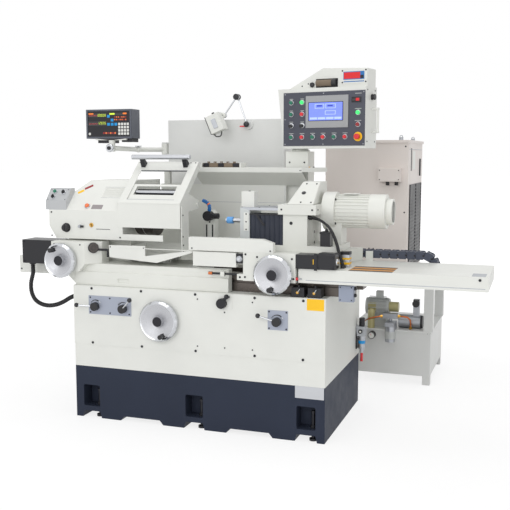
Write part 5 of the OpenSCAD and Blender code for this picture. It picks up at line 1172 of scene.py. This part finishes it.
SEGMENTS = {"a": (1, 0, 6, 1.6), "g": (1, 7, 6, 1.6), "d": (1, 14, 6, 1.6),
            "f": (0, 0.8, 1.6, 7), "b": (6.4, 0.8, 1.6, 7), "e": (0, 7.8, 1.6, 7), "c": (6.4, 7.8, 1.6, 7)}
SHAPES = {"0": "abcdef", "1": "bc", "2": "abged", "3": "abgcd", "5": "afgcd", "6": "afgedc", "8": "abcdefg"}
for row, shown in ((31, "00000"), (80, "12035")):
    for i, digit in enumerate(shown):
        for s in SHAPES[digit]:
            du, dv, w, h = SEGMENTS[s]
            key(p, 84 + i * 12 + du, row + dv - 3, w, h, DIGIT, 1.9)
for i in range(7):
    key(p, 20 + i * 9, 33, 6, 8, DARKRED, 1.6)
    key(p, 20 + i * 9, 85, 6, 8, DARKRED, 1.6)
p.done()
p = Piece("readout_keys", "readout", "white_plastic", 0.4)
for u, v in ((150, 34), (176, 58), (150, 84), (176, 84), (202, 84)):
    key(p, u, v, 19, 17, CYAN)
for row in range(2):
    for i in range(7):
        key(p, 200 + i * 13, 44 + 16 * row, 8, 8, ORANGE if (i + row) % 3 else DARKRED)
for row in range(4):
    for i in range(4):
        key(p, 228 + i * 20, 84 + 20 * row, 15, 15, WHITE)
for i in range(6):
    key(p, 120 + i * 16, 142, 11, 11, ORANGE if i % 2 else DARKRED)
p.stud((DRO_X + 24, 150, DRO_Z + 30), FRONT, 8, 3, WHITE, 20)
p.done()
p = Piece("readout_joint", "readout_arm", "bright_steel", 0.8)
p.turn([(0, 24), (6, 26), (20, 26), (24, 22), (24, CORE)], (-805, 148, 1568), FRONT, CHROME, 30)
p.turn([(24, 12), (30, 12), (30, 8)], (-805, 148, 1568), FRONT, SATIN, 20)
p.turn([(0, 21), (5, 22), (5, 16)], (-690, 300, 1579), UP, SILVER_AND_STEP_SHADE, 28)
p.done()

# work lamp
KNEE = Vector((-44, 402, 1886))
p = Piece("lamp_knee", "lamp_up", "black_plastic", 0.8)
p.turn([(-22, 15), (-16, 19), (-8, 19), (-4, 16)], KNEE, FRONT, SATIN, 28)
p.turn([(12, 16), (16, 19), (26, 19), (30, 15), (30, CORE)], KNEE, FRONT, SATIN, 28)
p.done()
HEAD = placed((-128, 371.4, 1773), radians(-23), "Y")
p = Piece("lamp_front", "lamp", "black_plastic", 0.8, HEAD)
p.box((-93, -89), (-84, -4), (-95, 21), SATIN)
for i in range(6):
    p.box((-94.5, -93), (-78 + i * 12.5, -70 + i * 12.5), (-86, 12), EMITTER)
p.box((-60, -30), (-86, -82), (-70, -10), SILVER_AND_STEP_SHADE)
p.turn([(0, 9), (14, 9), (16, 7), (16, CORE)], (-44, -40, 19), UP, SATIN, 20)
p.sweep(spline([(-88, -40, -93), (-78, -40, -112), (-50, -40, -118), (-34, -40, -96)], 6), 3.5, SATIN, 10)
p.done()
p = Piece("lamp_base_knob", "base", "black_plastic", 0.8)
p.turn([(0, 18), (6, 18), (8, 15), (18, 14), (20, 11), (20, CORE)], (18, 400, 1716), FRONT, SATIN, 28)
p.box((-30, 8), (405, 415), (1700, 1708), RED)
p.done()

# cabinets and hydraulics
p = Piece("drive_vent_bars", "base", "black_plastic", 0.4)
for i in range(24):
    z = 772 + i * 23
    p.box((962.5, 966), (966, 1474), (z, z + 9), BLACK)
for y in (960, 1219, 1474):
    p.box((962.5, 967), (y, y + 6), (760, 1330), SATIN)
p.done()
p = Piece("drive_details", "base", "beige_paint", 0.6)
p.box((959, 960.6), (930, 1500), (1560, 1563), SILVER_AND_STEP_SHADE)
p.box((959, 961), (1010, 1040), (1420, 1570), SATIN)
p.box((959, 961), (1080, 1190), (1430, 1550), WHITE)
p.box((959, 968), (1400, 1418), (1380, 1500), SATIN)
p.box((774, 914), (837.5, 840), (1358, 1434), BEIGE)
p.screws((782, 906), 837.5, (1366, 1426), FRONT, 3.5, 1.5)
p.screws((424, 939), 900, (730, 1150, 1580), FRONT, 5, 2.5)
for x in (464, 899):
    for y in (960, 1480):
        ring = [(x + 9 * cos(a), y, 1644 + 9 * sin(a)) for a in around(20, 21)]
        p.sweep(ring, 2.6, SILVER_AND_STEP_SHADE, 8)
p.done()
p = Piece("tank_details", "base", "grey_paint", 0.5)
p.screws((610, 860, 1110), 900, 352, FRONT, 4, 2)
p.turn([(0, 24), (2, 24), (2, 21), (1, 20.5), (1, CORE)], (742, 860, 322), FRONT, BLACK, 36)
p.turn([(1.1, 20), (1.4, 20), (1.4, CORE)], (742, 860, 322), FRONT, WHITE, 36)
for i in range(9):
    a = radians(-40 + i * 32.5)
    u = Vector((cos(a), 0, sin(a)))
    c = Vector((742, 858.4, 322))
    p.rod(c + u * 14, c + u * 18, 0.7, BLACK, 4)
p.rod((742, 858.2, 322), (732, 858.2, 334), 1.0, RED, 6)
p.turn([(0, 32.6), (1.5, 33.6), (14, 33.6), (15.5, 32.6)], (868, 861, 376), UP, SILVER_AND_STEP_SHADE, 40)
p.turn([(0, 32.4), (50, 32.4)], (868, 861, 310), UP, PALEGREY, 40)
for z in (296, 302):
    p.turn([(0, 32), (2, 33), (4, 32)], (868, 861, z), UP, SILVER_AND_STEP_SHADE, 40)
for c, way in (((809, 909, 446), LEFT), ((908, 919, 452), RIGHT), ((990, 943, 366), UP)):
    p.turn([(0, 11), (12, 11), (12, 8.5), (18, 8)], c, way, BRASS, 6)
p.done()
p = Piece("pump_details", "base", "grey_paint", 0.5)
for a in around(16):
    y, z = 1000 + 66 * cos(a), 500 + 66 * sin(a)
    p.rod((700, y, z), (815, y, z), 2.4, PALEGREY, 6)
p.done()
p = Piece("air_rings", "base", "white_plastic", 0.4)
for z0, z1, mat in ((382, 402, CYAN), (354, 362, SILVER_AND_STEP_SHADE), (406, 412, SILVER_AND_STEP_SHADE)):
    p.turn([(0, 20.3), (1, 21.5), (z1 - z0 - 1, 21.5), (z1 - z0, 20.3)], (783, 350, z0), UP, mat, 32)
p.turn([(0, 13), (8, 13), (8, 11), (7, CORE)], (779, 325, 460), FRONT, SATIN, 28)
p.turn([(7.2, 10.5), (7.6, 10.5), (7.6, CORE)], (779, 325, 460), FRONT, WHITE, 28)
p.done()

p = Piece("door_details", "door", "grey_paint", 1.0)
for z0, z1, count in ((250, 560, 12), (1300, 1560, 10)):
    p.box((-505, -395), (861.5, 865), (z0, z1), GREY)
    for i in range(count):
        z = z0 + 12 + i * 24
        p.slab("x", (-498, -402), [(865, z), (872, z), (865, z + 14)], GREY)
p.done()


# floor, light, camera
def seen_directly(tree):
    """1 on a ray from the camera or from a mirroring or clear surface."""
    path = tree.nodes.new("ShaderNodeLightPath")
    value = path.outputs["Is Camera Ray"]
    for name in ("Is Glossy Ray", "Is Transmission Ray"):
        most = tree.nodes.new("ShaderNodeMath")
        most.operation = "MAXIMUM"
        tree.links.new(value, most.inputs[0])
        tree.links.new(path.outputs[name], most.inputs[1])
        value = most.outputs[0]
    return value


def floor_material():
    """Pale floor, nearly white in view, which keeps the shadow near the machine."""
    s = Shader("studio_floor")
    seen = seen_directly(s.tree)
    cloud = s.ramp(s.noise(s.coords(), 3.0), 0.3, 0.7, 0.0, 1.0)
    tone, dim = (s.mix(cloud, (a, a, a, 1), (b, b, b, 1)) for a, b in ((0.86, 0.88), (0.19, 0.2)))
    s.link(s.mix(seen, tone, dim), s.bsdf.inputs["Base Color"])
    s.set(Roughness=1.0, Emission_Color=(1, 1, 1, 1))
    far = s.node("ShaderNodeVectorMath", operation="LENGTH")
    s.link(s.coords(), far.inputs[0])
    level = s.node("ShaderNodeMath", operation="MULTIPLY")
    s.link(seen, level.inputs[0])
    s.link(s.ramp(far.outputs["Value"], *SHADOW_FIELD, GLOW_SHARE, 1.0), level.inputs[1])
    s.link(level.outputs[0], s.bsdf.inputs["Emission Strength"])
    return s.mat


GLOW_SHARE = 0.8
SHADOW_FIELD = (2.2, 6.0)
FLOOR_HALF, FLOOR_Z = 60.0, -0.001
mesh = bpy.data.meshes.new("studio_floor")
mesh.from_pydata([(x * FLOOR_HALF, y * FLOOR_HALF, FLOOR_Z) for x, y in ((-1, -1), (1, -1), (1, 1), (-1, 1))],
                 [], [(0, 1, 2, 3)])
mesh.materials.append(floor_material())
ground = bpy.data.objects.new("studio_floor", mesh)
scene.collection.objects.link(ground)

SEEN_STRENGTH, LIT_STRENGTH = 1.0, 0.72
world = bpy.data.worlds.new("studio")
scene.world = world
world.use_nodes = True
tree = world.node_tree
tree.nodes.clear()
out = tree.nodes.new("ShaderNodeOutputWorld")
blend = tree.nodes.new("ShaderNodeMixShader")
tree.links.new(seen_directly(tree), blend.inputs[0])
for i, strength in ((1, LIT_STRENGTH), (2, SEEN_STRENGTH)):
    sky = tree.nodes.new("ShaderNodeBackground")
    sky.inputs["Color"].default_value = (1, 1, 1, 1)
    sky.inputs["Strength"].default_value = strength
    tree.links.new(sky.outputs[0], blend.inputs[i])
tree.links.new(blend.outputs[0], out.inputs["Surface"])

# name, place and aim in metres, width and power
LIGHTS = (("key", (-0.7, -6.1, 3.5), (0.1, 0.2, 0.9), 3.2, 76),
          ("fill", (2.4, -5.4, 2.0), (0.1, 0.4, 1.1), 3.0, 32),
          ("top", (0.2, 0.0, 5.2), (0.1, 0.2, 0.8), 3.6, 46))
for name, place, aim, size, power in LIGHTS:
    data = bpy.data.lights.new(name, "AREA")
    data.shape = "SQUARE"
    data.size = size
    data.energy = power
    lamp = bpy.data.objects.new(name, data)
    lamp.location = place
    lamp.rotation_euler = (Vector(aim) - Vector(place)).to_track_quat("-Z", "Y").to_euler()
    scene.collection.objects.link(lamp)

SENSOR_MM, FOCAL_PX, PICTURE_PX = 36.0, 821.52, 510
PITCH, YAW = 83.152, 19.19
camera = bpy.data.cameras.new("camera")
camera.sensor_width = SENSOR_MM
camera.lens = SENSOR_MM * FOCAL_PX / PICTURE_PX
camera.dof.use_dof = False
camera.clip_end = 200.0
eye = bpy.data.objects.new("camera", camera)
eye.location = (1.7845, -4.5119, 1.5162)
eye.rotation_euler = (radians(PITCH), 0, radians(YAW))
scene.collection.objects.link(eye)
scene.camera = eye
scene.view_settings.view_transform = "Standard"
